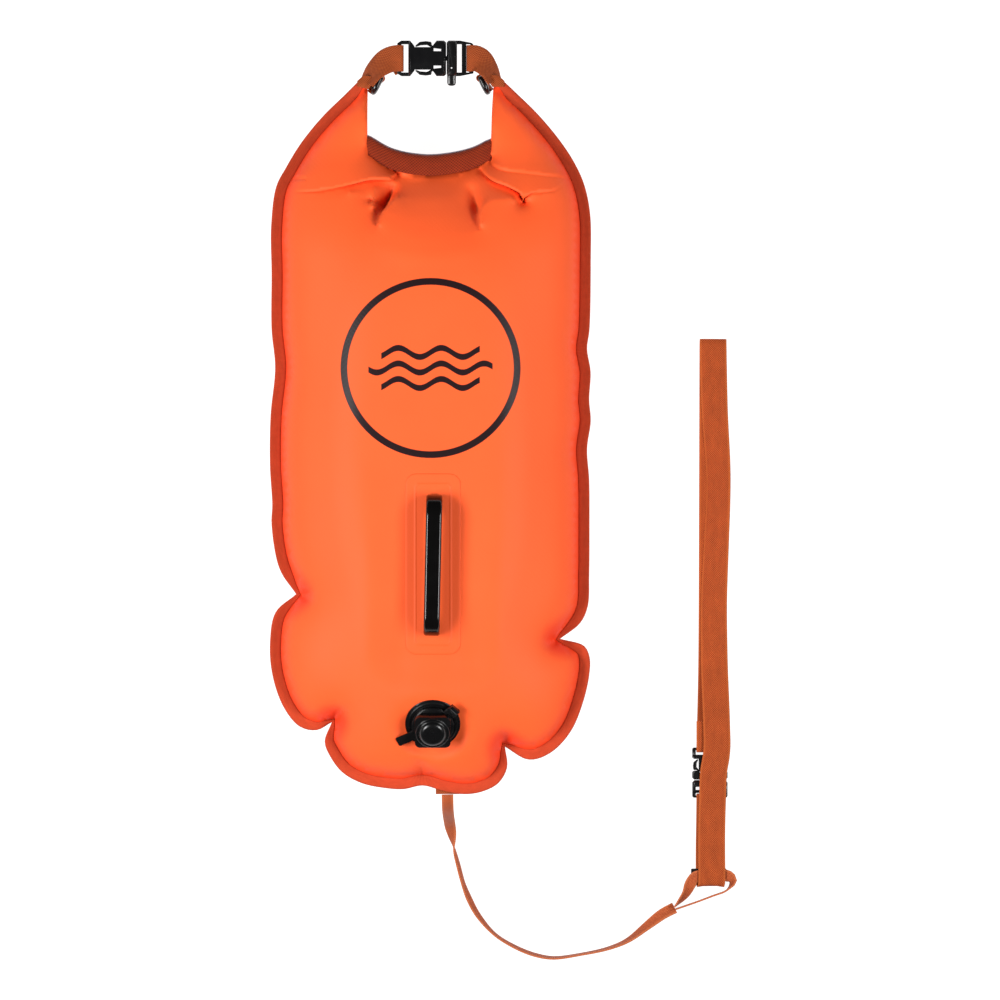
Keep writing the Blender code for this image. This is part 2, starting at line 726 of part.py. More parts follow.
BUCKLE_Y = BOTTOM_Y + BAG_LENGTH + BUCKLE_REACH - BUCKLE_WIDTH / 2
BUCKLE_Z = seam_z(BUCKLE_Y)
buckle("buckle", (BUCKLE_X, BUCKLE_Y, BUCKLE_Z), 0.0, True, 1)
buckle("belt_buckle", (BELT_BUCKLE_X, BELT_BUCKLE_Y, BELT_BUCKLE_Z), math.radians(-90), False,
       BELT_BUCKLE_SHARE)

# How webbing turns round a bar: its middle stands this far off the bar
WRAP_OFF = RUNNING_GAP + WEBBING / 2
WRAP_Z = FRAME_THICKNESS / 2 + WRAP_OFF


def wrap(turn_x, side, tail, bar):
    """Middle line of webbing round a bar: tail below, then round the bar's
    two corners at turn_x, and out on top. side is the way the tail points."""
    rows = [(turn_x + side * (WRAP_Z + tail), -WRAP_Z)]
    for level, turns in ((-1, (-90, -45, 0)), (1, (0, 45, 90))):
        for a in turns:
            angle = math.radians(a)
            rows.append((turn_x + side * WRAP_OFF * (1 - math.cos(angle)),
                         level * FRAME_THICKNESS / 2 + WRAP_OFF * math.sin(angle)))
    rows.append((turn_x + side * (bar + 2 * WRAP_OFF), WRAP_Z))
    return rows


def closure_strap(name, side):
    """From the buckle bar the webbing turns on edge down to the ear."""
    if side < 0:
        turn_x = BUCKLE_X - FEMALE_BODY - FEMALE_SLOT + WRAP_OFF
        bar, horn, corner = FEMALE_BAR, bound[0], mouth[-1]
    else:
        slots = MALE_BODY + MALE_OPEN_SLOT + MALE_MID_BAR + MALE_STRAP_SLOT
        turn_x = BUCKLE_X + slots - WRAP_OFF
        bar, horn, corner = MALE_BAR, bound[-1], mouth[0]
    tail = STRAP_WIDTH / 2
    rows = [(x, BUCKLE_Y, BUCKLE_Z + z, 0, 1, 0) for x, z in wrap(turn_x, side, tail, bar)]
    x0, y0, z0 = rows[-1][:3]
    middle = (horn + corner) / 2
    edge = (horn - corner) / np.linalg.norm(horn - corner)
    out = np.array((-side * abs(edge[1]), abs(edge[0])))
    x1, y1 = middle + out * (SEAT_GAP + STRAP_SEAT)
    z1 = seam_z(y1)
    reach, drop = x1 - x0, y1 - y0
    route_shares = [(0.30, 0.10, 0.30, 0.92, -0.25), (0.72, 0.50, 0.50, 0.56, -0.66)]
    rows = [(*row, False) for row in rows]
    for sx, sy, wx, wy, wz in route_shares:
        rows.append((x0 + sx * reach, y0 + sy * drop, z0 + sx * (z1 - z0),
                     side * wx, wy, wz, False))
    rows.append((x1, y1, z1, side * 0.46, 0.30, -0.83, False))
    finish(name, ribbon(smooth_line(rows, STRAP_STEP), STRAP_WIDTH), RUST, 60)


closure_strap("left_closure_strap", -1)
closure_strap("right_closure_strap", 1)


def lash_ring(side, tag):
    """D-ring hung in a webbing tab beside the hand hole."""
    corner = mouth[-1] if side < 0 else mouth[0]
    z = seam_z(corner[1]) - skin - SEAT_GAP - TAB_WIDTH / 2
    lean_way = Vector((side * math.sin(RING_LEAN), -math.cos(RING_LEAN), 0))
    ring_y = (mouth[0][1] + mouth[-1][1]) / 2 + RING_UP
    ring_x = corner[0] - side * RING_IN
    pivot = empty(tag + "_ring_pivot", (ring_x, ring_y, z))
    half = RING_INNER_WIDTH / 2 + RING_ROD_R
    bulge = half * RING_BULGE_SHARE
    straight = RING_REACH - RING_ROD_R - bulge
    shape = [(0.0, RING_CORNER - half), (0.0, half - RING_CORNER), (RING_CORNER, half)]
    for a in range(0, 181, 30):
        angle = math.radians(a)
        shape.append((straight + bulge * math.sin(angle), half * math.cos(angle)))
    shape.append((RING_CORNER, -half))
    bm = bmesh.new()
    rings = []
    count = len(shape)
    for i, (d, h) in enumerate(shape):
        before, after = shape[i - 1], shape[(i + 1) % count]
        along = Vector((after[0] - before[0], after[1] - before[1])).normalized()
        out = Vector((along.y, -along.x))
        ring = []
        for k in range(6):
            a = math.radians(60 * k)
            dd = d + out.x * RING_ROD_R * math.cos(a)
            hh = h + out.y * RING_ROD_R * math.cos(a)
            flat = lean_way.cross(Vector((0, 0, 1))) * RING_ROD_R * math.sin(a)
            ring.append(bm.verts.new(lean_way * dd + Vector((0, 0, hh)) + flat))
        rings.append(ring)
    for i, first in enumerate(rings):
        second = rings[(i + 1) % count]
        for k in range(6):
            n = (k + 1) % 6
            bm.faces.new((first[k], first[n], second[n], second[k]))
    seat(finish(tag + "_ring", bm, BLACK, 40), pivot)

    # The tab runs from the ear's corner round the ring's straight bar
    start = Vector((corner[0] - side * TAB_ROOT_IN, corner[1] - TAB_ROOT_DROP))
    bar = Vector((ring_x, ring_y))
    along = (bar - start).normalized()
    across = Vector((-along.y, along.x))
    off = RING_ROD_R + WRAP_OFF
    pinch = WEBBING / 2 + SEAT_GAP
    neck = bar - along * off * 2
    rows = [(start + across * pinch), (neck + across * pinch)]
    for a in range(110, -111, -44):
        angle = math.radians(a)
        rows.append(bar + along * off * math.cos(angle) + across * off * math.sin(angle))
    rows.append(neck - across * pinch)
    rows.append(start - across * pinch)
    line = [(p.x, p.y, z, 0, 0, 1) for p in rows]
    finish(tag + "_ring_tab", ribbon(line, TAB_WIDTH), RUST, 60)


lash_ring(-1, "left")
lash_ring(1, "right")


def handle_patch():
    """Sheet welded on the front, cut from the same surface as the panel."""
    bm = skin_mesh(front_z, patch_faces, flip)
    for v in bm.verts:
        v.co += v.normal * SEAT_GAP
    patch = finish("handle_patch", bm, ORANGE, 40, recalc=False)
    thicken(patch, PATCH_SHEET, outward=True)
    return patch


handle_patch()


def front_tree():
    bm = skin_mesh(front_z, everything, flip)
    tree = BVHTree.FromBMesh(bm)
    bm.free()
    return tree


def grip_handle():
    """Bridge-shaped grip standing on the patch at its two feet."""
    foot = HANDLE_LENGTH / 2 - HANDLE_BAR / 2
    tree = front_tree()
    heights = []
    for end in (-1, 1):
        spots = [(HANDLE_X + dx * HANDLE_WIDTH / 2, HANDLE_Y + end * foot + dy * HANDLE_BAR / 2)
                 for dx in (-1, 0, 1) for dy in (-1, 1)]
        heights.append(max(tree.ray_cast((x, y, BAG_LENGTH), (0, 0, -1))[0].z
                           for x, y in spots))
    slope = math.atan2(heights[1] - heights[0], 2 * foot)
    stand = SEAT_GAP * 2 + PATCH_SHEET + RUNNING_GAP / 2
    place = (HANDLE_X, HANDLE_Y, sum(heights) / 2 + stand)
    carrier = empty("handle_place", place, Matrix.Rotation(slope, 4, "X"))
    top = HANDLE_HEIGHT - HANDLE_BAR / 2
    path = [(-foot, 0.0, 0.0)]
    turns = (0, 30, 60, 90)
    for a in turns:
        angle = math.radians(a)
        path.append((-foot + HANDLE_BEND * (1 - math.cos(angle)),
                     top - HANDLE_BEND * (1 - math.sin(angle)), angle))
    path += [(-y, z, math.pi - angle) for y, z, angle in reversed(path)]
    section = rounded(HANDLE_WIDTH, HANDLE_BAR, HANDLE_CORNER, 2)
    stations = [((0, y, z), (1, 0, 0), (0, -math.cos(angle), math.sin(angle)))
                for y, z, angle in path]
    grip = finish("handle_grip", sweep(stations, section), BLACK, 50)
    return seat(grip, carrier)


grip_handle()

valve_axis = empty("valve_axis", (VALVE_X, VALVE_Y, disc_z), Matrix.Rotation(VALVE_TILT, 4, "X"))
FLANGE_TOP = SEAT_GAP + FLANGE_SHEET + FLANGE_STEP_RISE
COLLAR_LOW = FLANGE_TOP + SEAT_GAP
COLLAR_TOP = COLLAR_LOW + COLLAR_RISE
NECK_TOP = COLLAR_TOP + NECK_RISE
KNOB_LOW = COLLAR_TOP + SEAT_GAP + TETHER_SHEET + SEAT_GAP
KNOB_CEILING = max(NECK_TOP, KNOB_LOW) + RUNNING_GAP


def valve():
    """Twist valve: turning the knob pushes the poppet off its seat."""
    low = SEAT_GAP
    flange = [(BARREL_R + SEAT_GAP, low), (FLANGE_R, low), (FLANGE_R, low + FLANGE_SHEET),
              (FLANGE_STEP_R, low + FLANGE_SHEET), (FLANGE_STEP_R - FLANGE_STEP_RISE, FLANGE_TOP),
              (BARREL_R + SEAT_GAP, FLANGE_TOP)]
    seat(finish("valve_flange", lathe(flange, 32), BLACK, 40), valve_axis)
    floor = -BARREL_DEPTH
    body = [(GUIDE_R, floor), (BARREL_R, floor), (BARREL_R, COLLAR_LOW),
            (COLLAR_R, COLLAR_LOW), (COLLAR_R, COLLAR_TOP), (NECK_R, COLLAR_TOP),
            (NECK_R, NECK_TOP), (BORE_R, NECK_TOP), (BORE_R, floor + BARREL_FLOOR),
            (GUIDE_R, floor + BARREL_FLOOR)]
    barrel = seat(finish("valve_body", lathe(body, 32), BLACK, 40), valve_axis)
    for k in range(PORTS):
        a = 2 * math.pi * k / PORTS
        x, y = PORT_RING_R * math.cos(a), PORT_RING_R * math.sin(a)
        ring = [(x + PORT_R * math.cos(math.radians(t)), y + PORT_R * math.sin(math.radians(t)))
                for t in range(0, 360, 45)]
        port = plate(ring, floor - OVERRUN, floor + BARREL_FLOOR + OVERRUN)
        combine(barrel, tool(f"valve_port_{k}", port, valve_axis), "DIFFERENCE")
    seal_top = floor - SEAT_GAP
    seal_low = seal_top - SEAL_SHEET
    seal = [(SEAL_INNER_R, seal_low), (POPPET_R, seal_low), (POPPET_R, seal_top),
            (SEAL_INNER_R, seal_top)]
    seat(finish("valve_seal", lathe(seal, 24), RUBBER, 40), valve_axis)
    disc_top = seal_low - SEAT_GAP
    stem_top = KNOB_CEILING - RUNNING_GAP
    poppet = [(0, disc_top - POPPET_SHEET), (POPPET_R, disc_top - POPPET_SHEET),
              (POPPET_R, disc_top), (STEM_R, disc_top), (STEM_R, stem_top), (0, stem_top)]
    seat(finish("valve_poppet", lathe(poppet, 16), BLACK, 40), valve_axis)


def valve_knob():
    """Winged square cap with a round domed top over the valve's neck."""
    plan = rounded(KNOB_WIDTH, KNOB_DEPTH, KNOB_CORNER, 3)
    top = KNOB_CEILING + KNOB_TOP
    bm = plate(plan, KNOB_LOW, KNOB_LOW + KNOB_PLATE)
    knob = seat(finish("valve_knob", bm, BLACK, 40), valve_axis)
    dome_low = KNOB_LOW + KNOB_PLATE / 2
    side = top - DOME_RISE / 2
    dome = [(0, dome_low), (DOME_R + DOME_RISE, dome_low), (DOME_R + DOME_RISE, side)]
    for a in (30, 60):
        angle = math.radians(a)
        dome.append((DOME_R + DOME_RISE * math.cos(angle), side + DOME_RISE * math.sin(angle)))
    dome.append((DOME_R, side + DOME_RISE))
    dome.append((0, side + DOME_RISE))
    combine(knob, tool("knob_dome", lathe(dome, 28), valve_axis), "UNION")
    recess_r = NECK_R + RUNNING_GAP
    ceiling = KNOB_CEILING
    recess = [(0, KNOB_LOW - OVERRUN), (recess_r, KNOB_LOW - OVERRUN), (recess_r, ceiling),
              (0, ceiling)]
    combine(knob, tool("knob_recess", lathe(recess, 28), valve_axis), "DIFFERENCE")


def valve_tether():
    """Retaining strap round the neck, with a hinge block and a pull tab."""
    low = COLLAR_TOP + SEAT_GAP
    ring = [(NECK_R + RUNNING_GAP, low), (COLLAR_R, low), (COLLAR_R, low + TETHER_SHEET),
            (NECK_R + RUNNING_GAP, low + TETHER_SHEET)]
    strap = seat(finish("valve_tether", lathe(ring, 28), BLACK, 40), valve_axis)
    swept = math.hypot(KNOB_WIDTH / 2 - KNOB_CORNER, KNOB_DEPTH / 2 - KNOB_CORNER)
    swept += KNOB_CORNER + KNOB_SWEEP_GAP
    root = COLLAR_R - OVERRUN
    for tag, angle, start, end, wide, rise in (
            ("tab", TAB_ANGLE, root, COLLAR_R + TETHER_TAB_REACH, TETHER_TAB_WIDTH,
             TETHER_SHEET),
            ("hinge", HINGE_ANGLE, root, swept + HINGE_BLOCK, HINGE_BLOCK, TETHER_SHEET),
            ("block", HINGE_ANGLE, swept, swept + HINGE_BLOCK, HINGE_BLOCK,
             HINGE_BLOCK_RISE)):
        bm = box((start, -wide / 2, low), (end, wide / 2, low + rise))
        bm.transform(Matrix.Rotation(angle, 4, "Z"))
        combine(strap, tool("tether_" + tag, bm, valve_axis), "UNION")


valve()
valve_knob()
valve_tether()

# Leash: hand-chosen route from the bottom seam down to the floor and round
# to the belt; each row is a place, with Y from the bag's bottom, and the
# direction of the webbing's width.
LEASH_ROUTE = [
    (0.0160, -0.0005, 0.0702, 1, 0, 0), (0.0161, -0.0060, 0.0690, 1, 0, 0),
    (0.0163, -0.0140, 0.0600, 1, 0, 0), (0.0168, -0.0205, 0.0450, 1, 0, 0.1),
    (0.0175, -0.0260, 0.0280, 1, 0, 0.2), (0.0186, -0.0335, 0.0145, 0.9, 0, 0.4),
    (0.0200, -0.0420, 0.0085, 0.6, 0, 0.8), (0.0222, -0.0540, 0.0062, 0.1, 0, 1),
    (0.0263, -0.0699, 0.0060, 0, 0, 1), (0.0305, -0.0855, 0.0060, 0, 0, 1),
    (0.0357, -0.0991, 0.0060, 0, 0, 1), (0.0442, -0.1151, 0.0060, 0, 0, 1),
    (0.0606, -0.1339, 0.0060, 0, 0, 1), (0.0823, -0.1470, 0.0060, 0, 0, 1),
    (0.1001, -0.1536, 0.0060, 0, 0, 1), (0.1161, -0.1560, 0.0060, 0, 0, 1),
    (0.1410, -0.1527, 0.0060, 0, 0, 1), (0.1674, -0.1470, 0.0060, 0, 0, 1),
    (0.1857, -0.1395, 0.0060, 0, 0, 1), (0.2045, -0.1254, 0.0060, 0, 0, 1),
    (0.2186, -0.1148, 0.0062, 0, 0, 1), (0.2301, -0.1088, 0.0065, 0, 0, 1),
]
LEASH_LOOP_ROUTE = [
    (0.2300, -0.1079, 0.0066, 0, 0, 1), (0.2410, -0.0950, 0.0068, -0.5, 0.5, 0.7),
    (0.2450, -0.0860, 0.0071, -0.5, 0.8, 0.1), (0.2500, -0.0795, 0.0071, -0.1, 1, 0),
    (0.2560, -0.0785, 0.0071, 0, 1, 0), (0.2660, -0.0778, 0.0071, 0, 1, 0),
    (0.2760, -0.0778, 0.0071, 0, 1, 0), (0.2805, -0.0788, 0.0071, 0.1, 1, 0),
    (0.2850, -0.0835, 0.0070, 0.6, 0.3, 0.74),
    (0.2795, -0.0920, 0.0068, 0, 0, 1), (0.2660, -0.0975, 0.0066, 0, 0, 1),
    (0.2500, -0.1035, 0.0065, 0, 0, 1), (0.2310, -0.1101, 0.0066, 0, 0, 1),
]


def from_bottom(route):
    return [(x, BOTTOM_Y + y, *rest) for x, y, *rest in route]


def smooth_route(route, step):
    return smooth_line([(*row, False) for row in from_bottom(route)], step)


def leash():
    seam = seam_z(BOTTOM_Y)
    top = seam - skin - BINDING_GAP - BINDING_TAPE - SEAT_GAP
    back = BOTTOM_Y + LEASH_ROUTE[0][1] + SEAT_GAP
    bm = box((ANCHOR_X - ANCHOR_WIDTH / 2, back, top - WEBBING),
             (ANCHOR_X + ANCHOR_WIDTH / 2, back + ANCHOR_LENGTH, top))
    finish("leash_anchor_tab", bm, RUST)
    line = smooth_route(LEASH_ROUTE, LEASH_STEP)
    finish("leash", ribbon(line, LEASH_WIDTH), TAN, 60)
    line = smooth_route(LEASH_LOOP_ROUTE, LOOP_STEP)
    finish("leash_end_loop", ribbon(line, LEASH_WIDTH), TAN, 60)


leash()

# Waist belt: one length of webbing folded flat, from the buckle's female bar
# up to the top fold, down over the buckle and back up to the male bar. Rows
# are hand-chosen places along it, with Y from the bag's bottom.
BELT_UP = [
    (0.2640, 0.0780, 0.0016), (0.2650, 0.1140, 0.0012), (0.2655, 0.1740, 0.0012),
    (0.2658, 0.2540, 0.0012), (0.2660, 0.3340, 0.0012), (0.2662, 0.4040, 0.0012),
    (0.2663, 0.4240, 0.0014), (0.2664, 0.4273, 0.0028), (0.2664, 0.4245, 0.0042),
    (0.2667, 0.4040, 0.0044), (0.2680, 0.3590, 0.0040), (0.2712, 0.3050, 0.0040),
    (0.2713, 0.2780, 0.0040), (0.2693, 0.2330, 0.0040), (0.2672, 0.1790, 0.0040),
    (0.2674, 0.1340, 0.0040), (0.2678, 0.1150, 0.0044), (0.2685, 0.0960, 0.0078),
    (0.2692, 0.0770, 0.0110), (0.2697, 0.0600, 0.0118), (0.2700, 0.0440, 0.0127),
    (0.2690, 0.0330, 0.0128), (0.2668, 0.0200, 0.0128), (0.2656, -0.0100, 0.0127),
    (0.2650, -0.0360, 0.0120), (0.2650, -0.0580, 0.0100),
    (0.2652, -0.0760, 0.0092), (0.2650, -0.0848, 0.0091), (0.2646, -0.0868, 0.0081),
    (0.2640, -0.0876, 0.0060), (0.2634, -0.0868, 0.0039), (0.2630, -0.0848, 0.0029),
    (0.2627, -0.0760, 0.0029), (0.2627, -0.0510, 0.0029), (0.2630, -0.0320, 0.0028),
]


def waist_belt():
    turn_up = BELT_BUCKLE_Y + (FEMALE_BODY + FEMALE_SLOT) * BELT_BUCKLE_SHARE - WRAP_OFF
    slots = MALE_BODY + MALE_OPEN_SLOT + MALE_MID_BAR + MALE_STRAP_SLOT
    turn_down = BELT_BUCKLE_Y - slots * BELT_BUCKLE_SHARE + WRAP_OFF
    tail = BELT_WIDTH
    first = wrap(turn_up, 1, tail, FEMALE_BAR * BELT_BUCKLE_SHARE)
    last = wrap(turn_down, -1, tail, MALE_BAR * BELT_BUCKLE_SHARE)
    first, last = [[(BELT_BUCKLE_X, y, BELT_BUCKLE_Z - z) for y, z in rows]
                   for rows in (first, last)]
    rows = first + from_bottom(BELT_UP) + last[::-1]
    rows = [(*p, 1, 0, 0, False) for p in rows]
    line = smooth_line(rows, BELT_STEP)
    finish("waist_belt", ribbon(line, BELT_WIDTH), RUST, 60)


waist_belt()


def belt_keeper():
    """Rectangular loop that slides on the belt's lower layer."""
    strap_low = BELT_UP[-3][2] - WEBBING / 2
    low = KEEPER_LIFT
    mouth_low, mouth_high = strap_low - RUNNING_GAP / 2, strap_low + WEBBING + RUNNING_GAP / 2
    high = mouth_high + KEEPER_BAR
    pivot = empty("keeper_place", (KEEPER_X, KEEPER_Y, 0))
    half, run = KEEPER_WIDTH / 2, KEEPER_LENGTH / 2
    piece = finish("belt_keeper", box((-half, -run, low), (half, run, high), KEEPER_EDGE),
                   BLACK, 30)
    seat(piece, pivot)
    inner = half - KEEPER_SIDE
    bore = tool("keeper_bore", box((-inner, -run - OVERRUN, mouth_low),
                                   (inner, run + OVERRUN, mouth_high)), pivot)
    combine(piece, bore, "DIFFERENCE")


belt_keeper()
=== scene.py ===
"""Open water swim buoy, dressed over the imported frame."""
import math

import bmesh
import bpy
import numpy as np
from mathutils import Matrix, Vector
from mathutils.bvhtree import BVHTree
from mathutils.geometry import delaunay_2d_cdt


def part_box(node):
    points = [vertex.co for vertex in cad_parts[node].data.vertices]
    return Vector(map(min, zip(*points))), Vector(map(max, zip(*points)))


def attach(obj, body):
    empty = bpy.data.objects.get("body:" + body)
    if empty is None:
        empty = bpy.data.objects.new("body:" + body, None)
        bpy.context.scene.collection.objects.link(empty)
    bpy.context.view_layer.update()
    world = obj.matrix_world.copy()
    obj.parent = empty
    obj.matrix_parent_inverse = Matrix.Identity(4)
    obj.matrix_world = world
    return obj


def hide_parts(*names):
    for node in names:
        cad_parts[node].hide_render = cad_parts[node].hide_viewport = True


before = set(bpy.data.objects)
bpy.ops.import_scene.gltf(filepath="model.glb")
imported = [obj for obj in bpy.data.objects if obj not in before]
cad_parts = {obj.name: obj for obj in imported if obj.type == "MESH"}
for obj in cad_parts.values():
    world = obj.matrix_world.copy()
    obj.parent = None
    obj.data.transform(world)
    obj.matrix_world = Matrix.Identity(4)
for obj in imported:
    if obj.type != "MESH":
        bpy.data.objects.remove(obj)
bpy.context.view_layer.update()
bpy.ops.object.select_all(action="DESELECT")
scene = bpy.context.scene

# Sizes shared with the frame, in metres
MM = 0.001
BAG_WIDTH = 0.301
BAG_LENGTH = 0.675
OVERALL_LENGTH = 0.708
SEAM_HEIGHT = 0.074
FRONT_RISE = 0.0725
BACK_RISE = 0.079
SEAM_DROP = 0.030
DROP_START = 0.150
DROP_END = 0.335
VALVE = Vector((0.0024, -0.2867, 0.11725))
VALVE_TILT = math.radians(30)
VALVE_PLACE = Matrix.Translation(VALVE) @ Matrix.Rotation(VALVE_TILT, 4, "X")
FLANGE_R = 0.0255
HANDLE = Vector((0.0028, -0.1385, 0.14324))
HANDLE_SLOPE = 0.0719
LEASH_WIDTH = 0.011
STRAP_WIDTH = 0.0248
BELT_WIDTH = 0.0254
WEBBING = 0.0015

# The photograph: metres for a pixel, the pixel over the frame's origin, and
# how many metres wide it is at which distance
PIXEL = 0.00094
PHOTO_MIDDLE = (430.5, 417)
PHOTO_SPAN = 0.94
PHOTO_DISTANCE = 12
CAMERA_PLACE = (0.0653, -0.078, 12.05)
SENSOR = 36

# Bound edge from the left horn round the bottom to the right horn: shares of
# half the width and of the length; a third value of 1 marks a sharp notch
BOUND_SHARES = [
    (-0.418, 1), (-0.524, 0.976), (-0.678, 0.942), (-0.811, 0.905), (-0.903, 0.871),
    (-0.962, 0.845), (-0.993, 0.79), (-0.99, 0.724), (-0.99, 0.646), (-0.968, 0.593),
    (-0.996, 0.527), (-1, 0.456), (-0.986, 0.403), (-0.99, 0.374), (-0.94, 0.313),
    (-0.837, 0.278, 1), (-0.965, 0.253), (-1, 0.21), (-0.984, 0.165), (-0.915, 0.121),
    (-0.815, 0.094), (-0.709, 0.089), (-0.615, 0.1, 1), (-0.659, 0.073), (-0.621, 0.051),
    (-0.547, 0.03), (-0.425, 0.015), (-0.265, 0.008), (-0.166, 0.007), (-0.047, 0.012),
    (0.072, 0.005), (0.206, 0), (0.315, 0.003), (0.422, 0.015), (0.478, 0.037),
    (0.465, 0.066, 1), (0.593, 0.049), (0.665, 0.049), (0.771, 0.061), (0.88, 0.089),
    (0.952, 0.128), (0.99, 0.165), (0.993, 0.19), (0.959, 0.206), (0.809, 0.216, 1),
    (0.934, 0.238), (0.981, 0.261), (0.99, 0.306), (0.992, 0.371), (0.99, 0.437),
    (0.977, 0.48), (1, 0.519), (0.99, 0.548), (0.999, 0.587), (0.977, 0.619),
    (0.992, 0.646), (1, 0.74), (0.996, 0.807), (0.959, 0.848), (0.899, 0.878),
    (0.809, 0.909), (0.671, 0.946), (0.521, 0.979), (0.422, 1),
]
# Edge round the hand hole, from the right horn to the left one
MOUTH_SHARES = [
    (0.39, 0.983), (0.381, 0.949), (0.377, 0.917), (0.369, 0.883, 1), (0.264, 0.871),
    (0.112, 0.863), (-0.041, 0.861), (-0.234, 0.869), (-0.387, 0.888, 1),
    (-0.393, 0.917), (-0.393, 0.949), (-0.39, 0.98),
]


def smooth_line(points, step):
    """Smooth line through points; a point whose last value is true is a
    sharp corner. Returns rows without that mark."""
    rows = [np.array(p[:-1], float) for p in points]
    sharp = [bool(p[-1]) for p in points]

    def tangent(a, b, c):
        before = math.sqrt(np.linalg.norm((b - a)[:3]))
        after = math.sqrt(np.linalg.norm((c - b)[:3]))
        return (b - a) / before - (c - a) / (before + after) + (c - b) / after

    line = []
    for i in range(len(rows) - 1):
        b, c = rows[i], rows[i + 1]
        chord = np.linalg.norm((c - b)[:3])
        first, last = c - b, c - b
        if i > 0 and not sharp[i]:
            first = tangent(rows[i - 1], b, c) * math.sqrt(chord)
        if i + 2 < len(rows) and not sharp[i + 1]:
            last = tangent(b, c, rows[i + 2]) * math.sqrt(chord)
        count = max(1, round(chord / step))
        for k in range(count):
            t = k / count
            line.append((2 * t**3 - 3 * t**2 + 1) * b + (t**3 - 2 * t**2 + t) * first
                        + (3 * t**2 - 2 * t**3) * c + (t**3 - t**2) * last)
    line.append(rows[-1])
    return np.array(line)


def smooth_route(route, step):
    return smooth_line([(*row, False) for row in route], step)


def smoothstep(low, high, value):
    t = np.clip((value - low) / (high - low), 0, 1)
    return t * t * (3 - 2 * t)


def seam_z(y):
    """Height of the seam: level along the bag, lower towards the buckle."""
    return SEAM_HEIGHT - SEAM_DROP * smoothstep(DROP_START, DROP_END, y)

def photo(x, y):
    """Place on the ground plan of a pixel of the photograph."""
    return (x - PHOTO_MIDDLE[0]) * PIXEL, (PHOTO_MIDDLE[1] - y) * PIXEL


def lengths_along(points):
    """Distance along a line from its first point to each of its points."""
    return np.concatenate([[0], np.cumsum(np.linalg.norm(np.diff(points, axis=0), axis=1))])


# Materials


def add_node(tree, kind, inputs=None, **settings):
    made = tree.nodes.new("ShaderNode" + kind)
    for key, value in settings.items():
        setattr(made, key, value)
    for key, value in (inputs or {}).items():
        if isinstance(value, bpy.types.NodeSocket):
            tree.links.new(value, made.inputs[key])
        else:
            made.inputs[key].default_value = value
    return made


def maths(tree, operation, *values):
    return add_node(tree, "Math", dict(enumerate(values)), operation=operation).outputs[0]


def parts_of(tree, place):
    """The X, Y and Z of a place, by those names."""
    return add_node(tree, "SeparateXYZ", {0: place}).outputs


def ramp(tree, value, low, high, first=0.0, last=1.0):
    """Runs from first to last while the value runs from low to high."""
    return add_node(tree, "MapRange", {0: value, 1: low, 2: high, 3: first, 4: last}).outputs[0]


def stretched_noise(tree, place, stretch):
    wide = add_node(tree, "Mapping", {0: place, 3: stretch}).outputs[0]
    return add_node(tree, "TexNoise", {"Vector": wide, "Scale": 1.0, "Detail": 3.0}).outputs["Fac"]


def blend_colour(tree, factor, first, second, mode="MIX"):
    made = add_node(tree, "Mix", {0: factor, 6: first, 7: second}, data_type="RGBA",
                    blend_type=mode)
    return made.outputs[2]


def new_material(name, **values):
    made = bpy.data.materials.new(name)
    made.use_nodes = True
    shader = made.node_tree.nodes["Principled BSDF"]
    for key, value in values.items():
        shader.inputs[key.replace("_", " ")].default_value = value
    return made, made.node_tree, shader


def new_group(name, inputs, outputs):
    """A shader node group whose sockets are given as name: kind."""
    tree = bpy.data.node_groups.new(name, "ShaderNodeTree")
    for sockets, side in ((inputs, "INPUT"), (outputs, "OUTPUT")):
        for label, kind in sockets.items():
            tree.interface.new_socket(label, in_out=side, socket_type="NodeSocket" + kind)
    return tree, tree.nodes.new("NodeGroupInput"), tree.nodes.new("NodeGroupOutput")


def use_group(tree, group, **values):
    inputs = {key.replace("_", " "): value for key, value in values.items()}
    return add_node(tree, "Group", inputs, node_tree=group)


def weave_group():
    """Plain weave of narrow webbing, from a UV map in metres. Thread is 1 on
    top of a thread and 0 in the gap between; Shade varies slowly."""
    tree, head, tail = new_group(
        "webbing_weave", {"Place": "Vector", "Along Pitch": "Float", "Across Pitch": "Float"},
        {"Thread": "Float", "Shade": "Float"})
    place = parts_of(tree, head.outputs["Place"])
    waves = []
    for axis, label in (("X", "Along Pitch"), ("Y", "Across Pitch")):
        turns = maths(tree, "DIVIDE", place[axis], head.outputs[label])
        waves.append(maths(tree, "SINE", maths(tree, "MULTIPLY", turns, 2 * math.pi)))
    thread = maths(tree, "MULTIPLY_ADD", maths(tree, "MULTIPLY", *waves), 0.5, 0.5)
    shade = stretched_noise(tree, head.outputs["Place"], (60, 160, 1))
    tree.links.new(thread, tail.inputs["Thread"])
    tree.links.new(shade, tail.inputs["Shade"])
    return tree


def grain_group():
    """Fine uneven grain of a moulded or coated skin, with slow patches."""
    tree, head, tail = new_group("skin_grain", {"Grain Size": "Float", "Patch Size": "Float"},
                                 {"Grain": "Float", "Patches": "Float"})
    place = add_node(tree, "TexCoord").outputs["Object"]
    for label, size in (("Grain", "Grain Size"), ("Patches", "Patch Size")):
        scale = maths(tree, "DIVIDE", 1.0, head.outputs[size])
        noise = add_node(tree, "TexNoise", {"Vector": place, "Scale": scale, "Detail": 2.0,
                                            "Roughness": 0.55})
        tree.links.new(noise.outputs["Fac"], tail.inputs[label])
    return tree


WEAVE = weave_group()
GRAIN = grain_group()


def add_bump(tree, shader, height, distance, strength=1.0):
    made = add_node(tree, "Bump", {"Height": height, "Distance": distance, "Strength": strength})
    tree.links.new(made.outputs[0], shader.inputs["Normal"])


